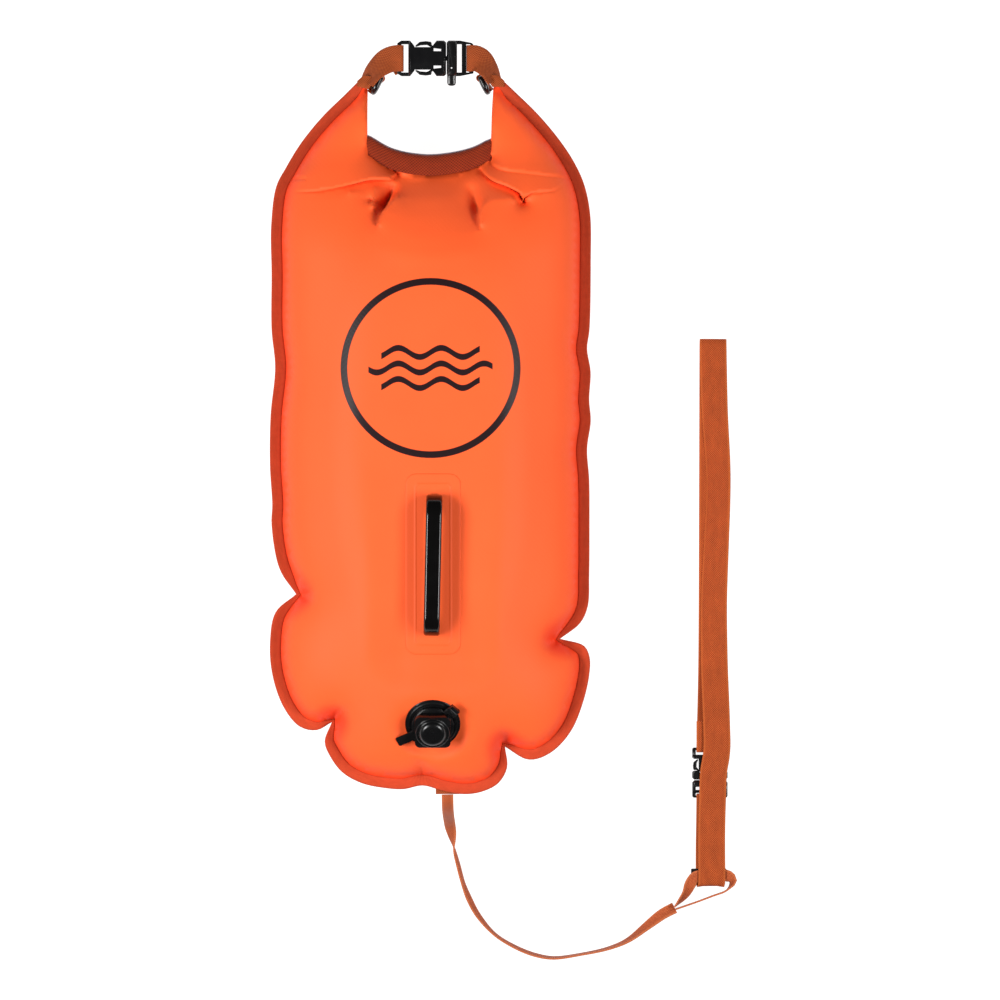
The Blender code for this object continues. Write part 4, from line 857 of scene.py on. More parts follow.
class Skin:
    """One side of the bag in plan, and the height of a film under it."""

    def __init__(self, creases, with_valve):
        self.creases = [line for fold in creases for line in fold_lines(*fold)]
        loops = [shell_edge, flat_edge]
        if with_valve:
            loops += [valve_circle(r, n) for r, n in
                      ((WELL_RADII[0], 24), (WELL_RADII[1], 24), (FLANGE_R + 0.0008, 40))]
        edges, start = [], 0
        for loop in loops:
            count = len(loop)
            edges += [(start + k, start + (k + 1) % count) for k in range(count)]
            start += count
        for line in self.creases:
            edges += [(start + k, start + k + 1) for k in range(len(line) - 1)]
            start += len(line)
        traced = np.vstack([line[:, :2] for line in self.creases])
        points = np.vstack([*loops, traced])
        plain, fine = hex_grid(PLAIN_STEP), hex_grid(FINE_STEP)
        plain = plain[nearest(plain, traced) > CREASE_REACH]
        fine = fine[nearest(fine, traced) <= CREASE_REACH]
        plain = plain[nearest(plain, points) > 0.55 * PLAIN_STEP]
        fine = fine[nearest(fine, points) > 0.6 * FINE_STEP]
        grid = np.vstack([plain, fine])
        grid = grid[inside(flat_edge, grid)]
        if with_valve:
            away = self.valve_distance(grid)
            grid = grid[(away > FLANGE_R + 0.002) | (away < 0.011)]
        points = np.vstack([points, grid])
        made = delaunay_2d_cdt([Vector(p) for p in points], edges, [], 0, 1e-7)
        self.plan = np.array([(v.x, v.y) for v in made[0]])
        sources = made[3]
        self.rim = {k: i for i, ids in enumerate(sources) for k in ids if k < len(outline)}
        on_edge = np.array([min(ids, default=len(points)) < 2 * len(outline) for ids in sources])
        self.pinned = on_edge | ~inside(flat_edge, self.plan)
        tris = np.array(made[2])
        self.faces = tris[inside(shell_edge, self.plan[tris].mean(axis=1))]
        a, b, c = (self.plan[self.faces[:, k]] for k in range(3))
        (ux, uy), (vx, vy) = (b - a).T, (c - a).T
        wrong = ux * vy - uy * vx < 0
        self.faces[wrong] = self.faces[wrong][:, ::-1]

    @staticmethod
    def valve_distance(plan):
        return np.hypot(plan[:, 0] - VALVE.x,
                        (plan[:, 1] - VALVE.y) / math.cos(VALVE_TILT))

    def film(self, held, value):
        """Even pressure under a film that is held at some points."""
        verts, faces = self.plan, self.faces
        count = len(verts)
        heads, tails, weights = [], [], []
        load = np.zeros(count)
        for k in range(3):
            i, j, o = faces[:, k], faces[:, (k + 1) % 3], faces[:, (k + 2) % 3]
            u, v = verts[i] - verts[o], verts[j] - verts[o]
            area = np.maximum(np.abs(u[:, 0] * v[:, 1] - u[:, 1] * v[:, 0]), 1e-12)
            heads.append(i)
            tails.append(j)
            weights.append(np.maximum(0.0, (u * v).sum(axis=1) / area) / 2)
            load += np.bincount(i, area / 6, minlength=count)
        heads, tails, weights = map(np.concatenate, (heads, tails, weights))
        total = (np.bincount(heads, weights, minlength=count)
                 + np.bincount(tails, weights, minlength=count))
        used = total > 0
        free = used & ~held

        def pull(x):
            out = total * x
            out -= np.bincount(heads, weights * x[tails], minlength=count)
            out -= np.bincount(tails, weights * x[heads], minlength=count)
            return out

        def shares(rest):
            return np.where(free, rest / np.maximum(total, 1e-12), 0.0)

        height = np.where(held, value, 0.0)
        rest = np.where(free, load - pull(height), 0.0)
        course = shares(rest)
        step = rest @ course
        goal = step * 1e-12
        for _ in range(3000):
            moved = np.where(free, pull(course), 0.0)
            size = step / (course @ moved)
            height += size * course
            rest -= size * moved
            guess = shares(rest)
            after = rest @ guess
            if after < goal:
                break
            course = guess + course * (after / step)
            step = after
        return height

    def swell(self, rise):
        """Height from 0 to 1 of the inflated side, folds included."""
        zero = np.zeros(len(self.plan))
        top = self.film(self.pinned, zero).max()
        for k, i in self.rim.items():
            zero[i] = np.interp(mouth_lift[k] / rise, FULLNESS, LEVELS)**2 * top
        free = self.film(self.pinned, zero)
        held, value = self.pinned.copy(), zero.copy()
        for line in self.creases:
            gap = distances(self.plan, line)
            on = (gap.min(axis=1) < 0.0002) & ~self.pinned
            keep = line[gap.argmin(axis=1)[on], 2]
            value[on] = free[on] * keep**2
            held |= on
        made = self.film(held, value)
        return np.interp(np.sqrt(np.clip(made / top, 0, 1)), LEVELS, FULLNESS)


def handle_rise(plan, top):
    """Smooth correction that brings the skin under the handle to the height
    of the frame's panel there."""
    tree = height_finder(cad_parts["front_panel"].data)
    x, y = plan[:, 0] - HANDLE.x, plan[:, 1] - HANDLE.y
    terms = np.stack([np.ones_like(x), x, y, x * x, x * y, y * y], axis=1)
    spots = np.nonzero((np.abs(x) < HANDLE_MATCH[0]) & (np.abs(y) < HANDLE_MATCH[1]))[0]
    wanted = [hit_from_above(tree, *plan[i])[0].z - top[i] for i in spots]
    fit = np.linalg.lstsq(terms[spots], np.array(wanted), rcond=None)[0]
    away = np.hypot(np.maximum(np.abs(x) - HANDLE_HOLD[0], 0),
                    np.maximum(np.abs(y) - HANDLE_HOLD[1], 0))
    return terms @ fit * (1 - smoothstep(0.0, HANDLE_FADE, away))


def settle_mouth(plan, lift):
    """Brings the skin between the two flaps to an even slope from the mouth."""
    edge = mouth[mouth[:, 1] < MOUTH_EDGE_TOP]
    edge = edge[np.argsort(edge[:, 0])]
    down = np.interp(plan[:, 0], edge[:, 0], edge[:, 1]) - plan[:, 1]
    aside = np.abs(plan[:, 0] - MOUTH_ROW_X)
    row = np.nonzero((aside < MOUTH_ROW_HALF) & (down > 0) & (down < MOUTH_DEPTH))[0]
    row = row[np.argsort(down[row])]
    over = lift[row] - np.interp(down[row], *MOUTH_SLOPE)
    over *= 1 - smoothstep(*MOUTH_FADE, down[row])
    reach = ASIDE + ASIDE_GAIN * smoothstep(*ASIDE_GROWS, down)
    share = 1 - smoothstep(FLAT_ASIDE, reach, aside)
    share[(down < 0) | (down > MOUTH_DEPTH)] = 0
    return lift - share * np.interp(down, down[row], over)


def bag_shell():
    """Both skins over one outline, joined at the seam and by a wall round the
    mouth, with the valve's well in the front."""
    front = Skin(FRONT_FOLDS, True)
    back = Skin(BACK_FOLDS, False)

    def lift_over_seam(skin, tall):
        lift = 0.0005 + tall * skin.swell(tall)
        for k, i in skin.rim.items():
            lift[i] = mouth_lift[k]
        return seam_z(skin.plan[:, 1]), lift

    seam, lift = lift_over_seam(front, FRONT_RISE)
    top = seam + settle_mouth(front.plan, lift)
    away = front.valve_distance(front.plan)
    plane = VALVE.z + (front.plan[:, 1] - VALVE.y) * math.tan(VALVE_TILT)
    hold = 1 - smoothstep(FLANGE_R + 0.001, FLANGE_R + 0.016, away)
    top = top * (1 - hold) + plane * hold
    top += handle_rise(front.plan, top)
    seam, lift = lift_over_seam(back, BACK_RISE)
    low = seam - lift
    soft = FLOOR_SOFTNESS
    low = np.where(low > soft, low, np.where(low < -soft, 0.0, (low + soft)**2 / (4 * soft)))
    front_place = np.column_stack([front.plan, top])
    well = np.array((0, math.sin(VALVE_TILT), -math.cos(VALVE_TILT))) * WELL_DEPTH
    front_place[away < sum(WELL_RADII) / 2] += well
    bm = bmesh.new()
    upper = {i: bm.verts.new(front_place[i]) for i in np.unique(front.faces)}
    shared = {back.rim[k]: upper[i] for k, i in front.rim.items() if mouth_lift[k] == 0}
    lower = {i: shared[i] if i in shared else bm.verts.new((*back.plan[i], low[i]))
             for i in np.unique(back.faces)}
    for face in front.faces:
        bm.faces.new([upper[i] for i in face])
    for face in back.faces:
        bm.faces.new([lower[i] for i in face[::-1]])
    for k in range(len(outline) - 1):
        wall = dict.fromkeys([upper[front.rim[k]], upper[front.rim[k + 1]],
                              lower[back.rim[k + 1]], lower[back.rim[k]]])
        if len(wall) > 2:
            bm.faces.new(list(wall))
    made = new_piece("bag_shell", bm, 180)
    places = np.array([v.co[:2] for v in made.data.vertices])
    # Painted shade: how much the cloth beside the seam is darkened, fully near the binding
    beside = made.data.attributes.new("painted_seam_shade", "FLOAT", "POINT")
    beside.data.foreach_set("value", 1 - smoothstep(*SEAM_SHADE, nearest(places, bound)))
    return made


shell = bag_shell()

PLAIN_ORANGE = (0.80, 0.096, 0.021, 1)
# Painted shade: the darker orange that the cloth beside the seam is given
SEAM_SHADED_ORANGE = (0.76, 0.046, 0.010, 1)
PRINT_INK = (0.012, 0.004, 0.005, 1)
# Painted light: the cloth is made lighter from here to there along the bag, towards the mouth, by
# this much
MOUTH_PAINTED_LIGHT = (0.236, 0.256, 1.0, 1.17)
# The printed ring, and the waves inside it: rows with their half lengths
PRINT_CENTRE = (0.0005, 0.0451)
PRINT_R = 0.084
PRINT_BAND = 0.0064
PRINT_SOFTNESS = 0.0003
WAVES = ((0.0145, 0.046), (0.0, 0.058), (-0.0145, 0.046))
WAVE_TURNS = 157.0
WAVE_HEIGHT = 0.0042
WAVE_HALF = 0.0029


def print_mask(tree, place):
    """1 where the front is printed: a ring with three waves inside."""
    place = parts_of(tree, place)
    x, y = (maths(tree, "SUBTRACT", place[axis], centre)
            for axis, centre in zip("XY", PRINT_CENTRE))
    away = maths(tree, "SQRT", maths(tree, "ADD", maths(tree, "MULTIPLY", x, x),
                                     maths(tree, "MULTIPLY", y, y)))

    def band(value, half):
        far = maths(tree, "ABSOLUTE", value)
        return ramp(tree, far, half - PRINT_SOFTNESS, half + PRINT_SOFTNESS, 1.0, 0.0)

    mask = band(maths(tree, "SUBTRACT", away, PRINT_R - PRINT_BAND / 2), PRINT_BAND / 2)
    sway = maths(tree, "SINE", maths(tree, "MULTIPLY", x, WAVE_TURNS))
    height = maths(tree, "SUBTRACT", y, maths(tree, "MULTIPLY", sway, WAVE_HEIGHT))
    for row, half in WAVES:
        line = band(maths(tree, "SUBTRACT", height, row), WAVE_HALF)
        line = maths(tree, "MULTIPLY", line, band(x, half))
        mask = maths(tree, "MAXIMUM", mask, line)
    front = maths(tree, "GREATER_THAN", place["Z"], SEAM_HEIGHT)
    return maths(tree, "MULTIPLY", mask, front)


def fabric_look(name, printed):
    """Coated fluorescent fabric: fine weave under the coat, slow patches of
    gloss, painted shade beside the seam, painted light towards the mouth, and
    the print where it is printed."""
    made, tree, shader = new_material(name, Specular_IOR_Level=0.16)
    place = add_node(tree, "TexCoord").outputs["Object"]
    grain = use_group(tree, GRAIN, Grain_Size=0.0009, Patch_Size=0.05)
    shade = maths(tree, "MULTIPLY_ADD", grain.outputs["Patches"], 0.10, 0.95)
    # Painted light: the cloth near the mouth and its flaps is made lighter
    shade = maths(tree, "MULTIPLY", shade, ramp(tree, parts_of(tree, place)["Y"], *MOUTH_PAINTED_LIGHT))
    # Painted shade: the cloth beside the seam is darkened towards the shaded orange
    beside = add_node(tree, "Attribute", attribute_name="painted_seam_shade").outputs["Fac"]
    orange = blend_colour(tree, beside, PLAIN_ORANGE, SEAM_SHADED_ORANGE)
    colour = blend_colour(tree, 1.0, orange, shade, "MULTIPLY")
    rough = maths(tree, "MULTIPLY_ADD", grain.outputs["Patches"], 0.12, 0.52)
    threads = add_node(tree, "Mapping", {0: place, 3: (1300, 1300, 400)}).outputs[0]
    threads = parts_of(tree, threads)
    cloth = maths(tree, "MULTIPLY", *(maths(tree, "SINE", threads[axis]) for axis in "XY"))
    height = maths(tree, "MULTIPLY_ADD", cloth, 0.35, grain.outputs["Grain"])
    if printed:
        mask = print_mask(tree, place)
        colour = blend_colour(tree, mask, colour, PRINT_INK)
        rough = add_node(tree, "Mix", {0: mask, 2: rough, 3: 0.42}).outputs[0]
        height = maths(tree, "MULTIPLY_ADD", mask, 0.8, height)
    tree.links.new(colour, shader.inputs["Base Color"])
    tree.links.new(rough, shader.inputs["Roughness"])
    add_bump(tree, shader, height, 0.00006, 0.8)
    return made


finish_piece(shell, fabric_look("printed_orange_fabric", True), "front_panel", "back_panel",
             slot="orange_fabric")


# Edge binding

TAPE_INNER = 0.0008
TAPE_THICK = 0.0009
TAPE_RIB = 0.0011


def edge_binding():
    """Tape folded over the seam, open on the bag's side."""
    bm = bmesh.new()
    layer = bm.loops.layers.uv.new("tape")
    inner, thick = TAPE_INNER, TAPE_THICK
    outer = inner + thick
    rings = []
    for edge, inwards, w in zip(bound, inner_way, tape_width):
        profile = [(w, inner), (w, outer - 0.0003), (w - 0.0004, outer)]
        profile += [(w * k, outer) for k in (0.8, 0.6, 0.42)]
        profile += [(outer * (1 - math.cos(a)), outer * math.sin(a))
                    for a in map(math.radians, (80, 55, 30, 0))]
        profile += [(a, -b) for a, b in reversed(profile[:-1])]
        profile += [(thick + inner * 0.4, -inner), (thick, 0), (thick + inner * 0.4, inner)]
        places = [(*(edge + inwards * depth), rise) for depth, rise in profile]
        rings.append([bm.verts.new((x, y, seam_z(y) + rise)) for x, y, rise in places])
    across = lengths_along(profile)
    join_rings(bm, layer, rings, run, [*across, across[-1] + 0.002])
    bm.faces.new(rings[0])
    bm.faces.new(rings[-1][::-1])
    return new_piece("edge_tape", bm, 50)


def tape_look():
    """Ribbed binding tape: fine ribs across it, with painted shade between the ribs, a little
    uneven in colour.
    """
    made, tree, shader = new_material("binding_tape", Roughness=0.85,
                                      Specular_IOR_Level=0.12)
    place = add_node(tree, "UVMap", uv_map="tape").outputs[0]
    turns = maths(tree, "MULTIPLY", parts_of(tree, place)["X"], 2 * math.pi / TAPE_RIB)
    ribs = maths(tree, "MULTIPLY_ADD", maths(tree, "SINE", turns), 0.5, 0.5)
    # Painted shade: the colour is darker between the ribs and lighter on them
    colour = blend_colour(tree, ribs, (0.365, 0.034, 0.011, 1), (0.50, 0.057, 0.019, 1))
    shade = maths(tree, "MULTIPLY_ADD", stretched_noise(tree, place, (90, 500, 1)), 0.4, 0.8)
    colour = blend_colour(tree, 1.0, colour, shade, "MULTIPLY")
    tree.links.new(colour, shader.inputs["Base Color"])
    add_bump(tree, shader, ribs, 0.00012, 0.8)
    return made


finish_piece(edge_binding(), tape_look(), "edge_binding")


# Webbing round the buckles

BUCKLE_X = 0.0149
BUCKLE_Y = OVERALL_LENGTH / 2 - 0.0334 / 2
BUCKLE_Z = seam_z(BUCKLE_Y)
BELT_BUCKLE = Vector((0.2633, -0.342, 0.0058))
# From a buckle's middle to the far side of each half's strap bar
FEMALE_TURN = 0.0358 + 0.0064
MALE_TURN = 0.010 + 0.0044 + 0.0043 + 0.0038
# Half a bar's height, and the webbing's middle line off the bar and over it
BAR_HALF = 0.0022
WRAP_OFF = 0.0004 + WEBBING / 2
WRAP_Z = BAR_HALF + WRAP_OFF
# Rows on the way to the ear: shares of the way along and down, then the
# direction of the webbing's width, also at the ear
STRAP_TURNS = ((0.30, 0.10, 0.30, 0.92, -0.25), (0.72, 0.50, 0.50, 0.56, -0.66))
EAR_LEAN = (0.46, 0.30, -0.83)
# Corners of an ear's cover in mm, outwards and up from the horn's tip and
# from the mouth's edge below it
COVER_AT_HORN = ((-0.3, 0.6), (6.2, -5.0), (5.8, -10.5))
COVER_AT_MOUTH = ((-0.4, 0.8), (-3.0, 4.6), (-3.4, 13.0))


def wrap(turn_x, side, tail, bar):
    """Middle line of webbing round a bar: tail below, then round the bar,
    and out on top."""
    rows = [(turn_x + side * (WRAP_Z + tail), -WRAP_Z)]
    for level, turns in ((-1, (-90, -45, 0)), (1, (0, 45, 90))):
        for a in map(math.radians, turns):
            rows.append((turn_x + side * WRAP_OFF * (1 - math.cos(a)),
                         level * BAR_HALF + WRAP_OFF * math.sin(a)))
    rows.append((turn_x + side * (bar + 2 * WRAP_OFF), WRAP_Z))
    return rows


def closure_strap(tag, side):
    """From the buckle bar the webbing turns on edge down to the ear, its
    folded end lying under it. A cover is sewn over the ear."""
    if side < 0:
        turn_x, bar = BUCKLE_X - FEMALE_TURN + WRAP_OFF, 0.004
        horn, corner = bound[0], mouth[-1]
    else:
        turn_x, bar = BUCKLE_X + MALE_TURN - WRAP_OFF - 0.0017, 0.0047
        horn, corner = bound[-1], mouth[0]
    rows = [(x, BUCKLE_Y, BUCKLE_Z + z, 0, 1, 0) for x, z in wrap(turn_x, side, 0.0025, bar)]
    x0, y0, z0 = rows[-1][:3]
    edge = (horn - corner) / np.linalg.norm(horn - corner)
    out = np.array((-side * abs(edge[1]), abs(edge[0])))
    x1, y1 = (horn + corner) / 2 + out * 0.0011
    z1 = seam_z(y1)
    for along, down, wx, wy, wz in STRAP_TURNS:
        rows.append((x0 + along * (x1 - x0), y0 + down * (y1 - y0), z0 + along * (z1 - z0),
                     side * wx, wy, wz))
    rows.append((x1, y1, z1, side * EAR_LEAN[0], *EAR_LEAN[1:]))
    under = [(x - side * 0.0012, y - aside, z - 2 * WRAP_Z - 0.0004, *wide)
             for (x, y, z, *wide), aside in zip(rows[-4:-2], (0.0006, 0.0036))]
    rows = [under[1], under[0], *rows[1:]]
    strap = ribbon(tag + "_strap", smooth_route(rows, 0.002), STRAP_WIDTH, WEBBING)
    finish_piece(strap, closure_webbing, tag + "_closure_strap", slot="rust_webbing")
    plan = [(place[0] + side * a * MM, place[1] + b * MM)
            for place, corners in ((horn, COVER_AT_HORN), (corner, COVER_AT_MOUTH))
            for a, b in corners]
    cover = seam_pad(tag + "_ear_cover", plan, 0.0032, 0.0006)
    finish_piece(cover, closure_webbing, slot="rust_webbing")


closure_strap("left", -1)
closure_strap("right", 1)


# Waist belt: one length folded flat, from the buckle's female bar up to the
# top fold, down over the buckle and back up to the male bar. The last value
# of each row is how far the webbing leans, in degrees, its left edge low
BELT_UP = [
    (0.2640, -0.2860, 0.0016, 0), (0.2650, -0.2400, 0.0012, 0), (0.2655, -0.1800, 0.0012, 0),
    (0.2658, -0.1000, 0.0012, 0), (0.2660, -0.0200, 0.0012, 0), (0.2662, 0.0500, 0.0012, 0),
    (0.2663, 0.0700, 0.0014, 0), (0.2664, 0.0733, 0.0028, 0), (0.2664, 0.0705, 0.0042, 0),
    (0.2667, 0.0500, 0.0044, 4), (0.2680, 0.0050, 0.0054, 14), (0.2712, -0.0490, 0.0072, 26),
    (0.2713, -0.0760, 0.0074, 28), (0.2693, -0.1210, 0.0066, 22),
    (0.2672, -0.1750, 0.0056, 15), (0.2674, -0.2200, 0.0052, 8), (0.2678, -0.2390, 0.0056, 5),
    (0.2685, -0.2580, 0.0082, 3), (0.2692, -0.2770, 0.0112, 1), (0.2697, -0.2940, 0.0118, 0),
    (0.2700, -0.3100, 0.0127, 0), (0.2690, -0.3210, 0.0128, 0), (0.2668, -0.3340, 0.0128, 0),
    (0.2656, -0.3640, 0.0127, 0), (0.2650, -0.3900, 0.0120, 0),
    (0.2650, -0.4120, 0.0100, 0), (0.2652, -0.4300, 0.0092, 0), (0.2650, -0.4388, 0.0091, 0),
    (0.2646, -0.4408, 0.0081, 0), (0.2640, -0.4416, 0.0060, 0), (0.2634, -0.4408, 0.0039, 0),
    (0.2630, -0.4388, 0.0029, 0), (0.2627, -0.4300, 0.0029, 0), (0.2627, -0.4050, 0.0029, 0),
    (0.2630, -0.3860, 0.0028, 0),
]
# The belt's buckle against the closure buckle, lengthwise
SHORT = 0.66


def waist_belt():
    first = wrap(BELT_BUCKLE.y + FEMALE_TURN * SHORT - WRAP_OFF, 1, BELT_WIDTH, 0.004 * SHORT)
    last = wrap(BELT_BUCKLE.y - MALE_TURN * SHORT + WRAP_OFF, -1, BELT_WIDTH, 0.003 * SHORT)
    first, last = [[(BELT_BUCKLE.x, y, BELT_BUCKLE.z - z, 0) for y, z in rows]
                   for rows in (first, last)]
    rows = []
    for x, y, z, lean in first + BELT_UP + last[::-1]:
        a = math.radians(lean)
        rows.append((x, y, z, math.cos(a), 0, math.sin(a)))
    made = ribbon("belt_strap", smooth_route(rows, 0.004), BELT_WIDTH, WEBBING)
    finish_piece(made, belt_webbing, "waist_belt", slot="belt_webbing")


waist_belt()


# Mouth band

# Section of the rolled mouth under its webbing, in mm: up the bag, and height
BAND_SECTION = [
    (-0.9, 19.9), (-1.0, 20.6), (-0.6, 21.1), (1.5, 21.3), (5.0, 21.6), (9.5, 21.7),
    (14.0, 21.3), (16.6, 20.2), (18.1, 17.8), (18.6, 14.0), (18.6, 5.0),
    (18.6, -5.0), (18.6, -14.0), (18.1, -17.8), (16.6, -20.0), (14.0, -21.3),
    (9.0, -21.6), (4.0, -21.3), (1.0, -20.0), (0.5, -17.5), (0.5, 0.0), (0.5, 19.4),
]
# How far the band runs under the left and the right flap, and how much lower it
# gets under the right one, from where to where before its end
TUCKS = (0.0012, 0.0018)
END_DROP = 0.17
END_FROM = 0.006
END_TO = 0.0014


def mouth_band():
    """Stiff webbing laid over the rolled mouth, on edge from ear to ear, and
    the lip of the liner that stands in it."""
    path = mouth[mouth[:, 1] < corner_left[1] + 0.0004]
    path = path[(path[:, 0] < corner_right[0] + 0.0002) & (path[:, 0] > corner_left[0] - 0.0002)]
    path = path[np.argsort(path[:, 0])]
    path[0, 0] -= TUCKS[0]
    path[-1, 0] += TUCKS[1]
    end = path[-1, 0]
    bm = bmesh.new()
    layer = bm.loops.layers.uv.new("webbing")
    rings = []
    for x, y in path:
        z = seam_z(y)
        tall = (1 - END_DROP * smoothstep(end - END_FROM, end - END_TO, x)) * MM
        rings.append([bm.verts.new((x, y + a * MM, z + b * tall)) for a, b in BAND_SECTION])
    across = lengths_along(BAND_SECTION + BAND_SECTION[:1]) * MM
    join_rings(bm, layer, rings, lengths_along(path), across)
    for ring in (rings[0], rings[-1]):
        bm.faces.new(ring)
    finish_piece(new_piece("mouth_band", bm, 45), mouth_webbing, "mouth_webbing", "mouth_roll",
                 slot="rust_webbing")
    rows = [(x, y + 0.0190, seam_z(y) + 0.001, 0, 0, 1) for x, y in path]
    finish_piece(ribbon("liner_lip", rows, 0.026, 0.0009), liner_film)


mouth_band()


# Handle and its patch

PATCH_WIDTH = 0.0519
PATCH_LENGTH = 0.1690
PATCH_CORNER = 0.0105
PATCH_UP = 0.0007
# Rings of the patch: inset from its edge and height over the skin, in mm
PATCH_ROWS = [
    (0, 0.05), (0.35, 0.45), (0.9, 0.62), (2.5, 0.65), (5.0, 0.65), (7.5, 0.65),
    (9.1, 0.68), (9.5, 0.98), (9.9, 1.0), (10.3, 0.62), (10.8, 0.60), (12.5, 0.66),
    (16.0, 0.72), (20.0, 0.74), (24.0, 0.74),
]


def round_rectangle(width, length, corner, steps=10):
    points = []
    for sx, sy, start in ((1, 1, 0), (-1, 1, 90), (-1, -1, 180), (1, -1, 270)):
        for k in range(steps + 1):
            a = math.radians(start + 90 * k / steps)
            points.append((sx * (width / 2 - corner) + corner * math.cos(a),
                           sy * (length / 2 - corner) + corner * math.sin(a)))
    return points


def spread(loop, step):
    """Closed loop with points added on its long sides."""
    line = []
    for here, after in next_of(loop):
        count = max(1, round(math.dist(here, after) / step))
        line += [(here[0] + (after[0] - here[0]) * k / count,
                  here[1] + (after[1] - here[1]) * k / count) for k in range(count)]
    return line


def closest_on(point, first, second):
    """Distance to a straight line between two points, and the place on it."""
    dx, dy = second[0] - first[0], second[1] - first[1]
    span = dx * dx + dy * dy
    t = ((point[0] - first[0]) * dx + (point[1] - first[1]) * dy) / span if span else 0
    t = min(max(t, 0), 1)
    spot = (first[0] + dx * t, first[1] + dy * t)
    return math.dist(point, spot), spot


def spread_like(outer, loop, inset):
    """Points of an inner loop opposite those of the outer one."""
    made = []
    for x, y in outer:
        aim = x * (1 - 2 * inset / PATCH_WIDTH), y * (1 - 2 * inset / PATCH_LENGTH)
        best = min(range(len(loop)), key=lambda k: closest_on(aim, loop[k], loop[k - 1])[0])
        made.append(closest_on(aim, loop[best], loop[best - 1])[1])
    return made


def handle_patch():
    """Rectangle of the same fabric welded on the front: soft outer edge, a
    pressed weld line, and a slightly puffed middle under the handle."""
    skin = height_finder(shell.data)
    outer = spread(round_rectangle(PATCH_WIDTH, PATCH_LENGTH, PATCH_CORNER), 0.0035)
    bm = bmesh.new()
    rings = []
    for inset, rise in PATCH_ROWS:
        inset *= MM
        corner = 0.0032 if inset > 0.0085 else max(PATCH_CORNER - inset, 0.0035)
        loop = round_rectangle(PATCH_WIDTH - 2 * inset, PATCH_LENGTH - 2 * inset,
                               min(corner, PATCH_WIDTH / 2 - inset - 0.0001))
        ring = []
        for x, y in spread_like(outer, loop, inset):
            spot, normal = hit_from_above(skin, x + HANDLE.x, y + HANDLE.y + PATCH_UP)
            ring.append(bm.verts.new(spot + normal * rise * MM))
        rings.append(ring)
    rings.insert(0, [bm.verts.new(v.co - Vector((0, 0, 0.0006))) for v in rings[0]])
    for first, second in zip(rings, rings[1:]):
        for (a, b), (c, d) in zip(next_of(first), next_of(second)):
            bm.faces.new((a, b, d, c))
    bm.faces.new(rings[-1])
    bm.faces.new(rings[0][::-1])
    bmesh.ops.triangulate(bm, faces=[f for f in bm.faces if len(f.verts) > 4])
    finish_piece(new_piece("welded_patch", bm, 60), fabric_look("orange_fabric", False),
                 "handle_patch", slot="orange_fabric")


handle_patch()


def grip_handle():
    """Moulded bridge handle: a bar with two bent legs, smooth all round."""
    half, wide, top, bar, near = 0.066, 0.0075, 0.026, 0.0105, 0.0001
    under, leg = top - bar, half - bar

    def at_leg(edge):
        return abs(abs(middle(edge).y) - leg) < near

    def at_under(edge):
        return abs(middle(edge).z - under) < near

    def crosswise(edge):
        return abs(way(edge).x) > 0.9

    made = block("bridge_handle", (-wide, -half, under), (wide, half, top))
    for y in (-leg, leg):
        cut_round((0, 1, 0), y)
    raise_faces(-under, lambda f: f.normal.z < -0.9 and abs(middle(f).y) > leg)
    pick("EDGE", lambda e: at_leg(e) and middle(e).z > under + near
         or at_under(e) and abs(middle(e).y) > leg + near)
    bpy.ops.mesh.dissolve_edges(use_verts=True)
    round_edges(0.0205, 10, lambda e: crosswise(e) and middle(e).z > top - near
                and abs(middle(e).y) > half - near, clamp=True)
    round_edges(0.0130, 8, lambda e: crosswise(e) and at_under(e) and at_leg(e), clamp=True)
    ease(made, 0.0028, steps=5, angle=50, smooth=40)
    place = (Matrix.Translation(HANDLE) @ Matrix.Rotation(HANDLE_SLOPE, 4, "X")
             @ Matrix.Rotation(math.radians(-1.2), 4, "Z"))
    finish_piece(made, handle_plastic, "handle_grip", slot="black_plastic", place=place)


grip_handle()


# Valve

# Underside of its strap, and the ridges of the strap's hinge block: where they
# start, their pitch, and how the block and the pull tab are turned, in degrees
STRAP_LOW = 0.0059
HINGE_START = 0.0209
HINGE_STEP = 0.00095
TAB_TURN = 207
HINGE_TURN = 44


def valve_piece(piece, node, body="bag"):
    finish_piece(piece, valve_plastic, node, body=body, slot="valve_plastic", place=VALVE_PLACE)


def valve_rim():
    flange = turned("valve_rim", [
        (13.3, 0.3), (25.5, 0.3), (25.8, 0.6), (25.8, 1.2), (25.4, 1.6), (23.7, 1.75),
        (23.0, 2.1), (22.6, 2.3), (21.2, 2.3), (20.9, 1.9), (20.2, 1.9), (19.9, 2.3),
        (13.3, 2.3)], closed=True)
    ease(flange, 0)
    valve_piece(flange, "valve_flange")


def valve_barrel():
    barrel = turned("valve_barrel", [
        (2.4, -17), (12.6, -17), (13, -16.6), (13, 2.6), (19.1, 2.6), (19.5, 3.0),
        (19.5, 5.1), (19.0, 5.6), (17.6, 5.6), (17.2, 5.2), (16.4, 5.2), (16.0, 5.6),
        (11.5, 5.6), (11.5, 9.7), (11.1, 10.1), (9.6, 10.1), (9.2, 9.7), (9.2, -15),
        (2.4, -15)], closed=True)
    for k in range(6):
        port = turned("port", [(1.8, -19), (1.8, -13)], steps=24)
        a = math.radians(60 * k)
        port.data.transform(Matrix.Translation((0.0055 * math.cos(a), 0.0055 * math.sin(a), 0)))
        join_shape(barrel, port, "DIFFERENCE")
    ease(barrel, 0)
    valve_piece(barrel, "valve_body")


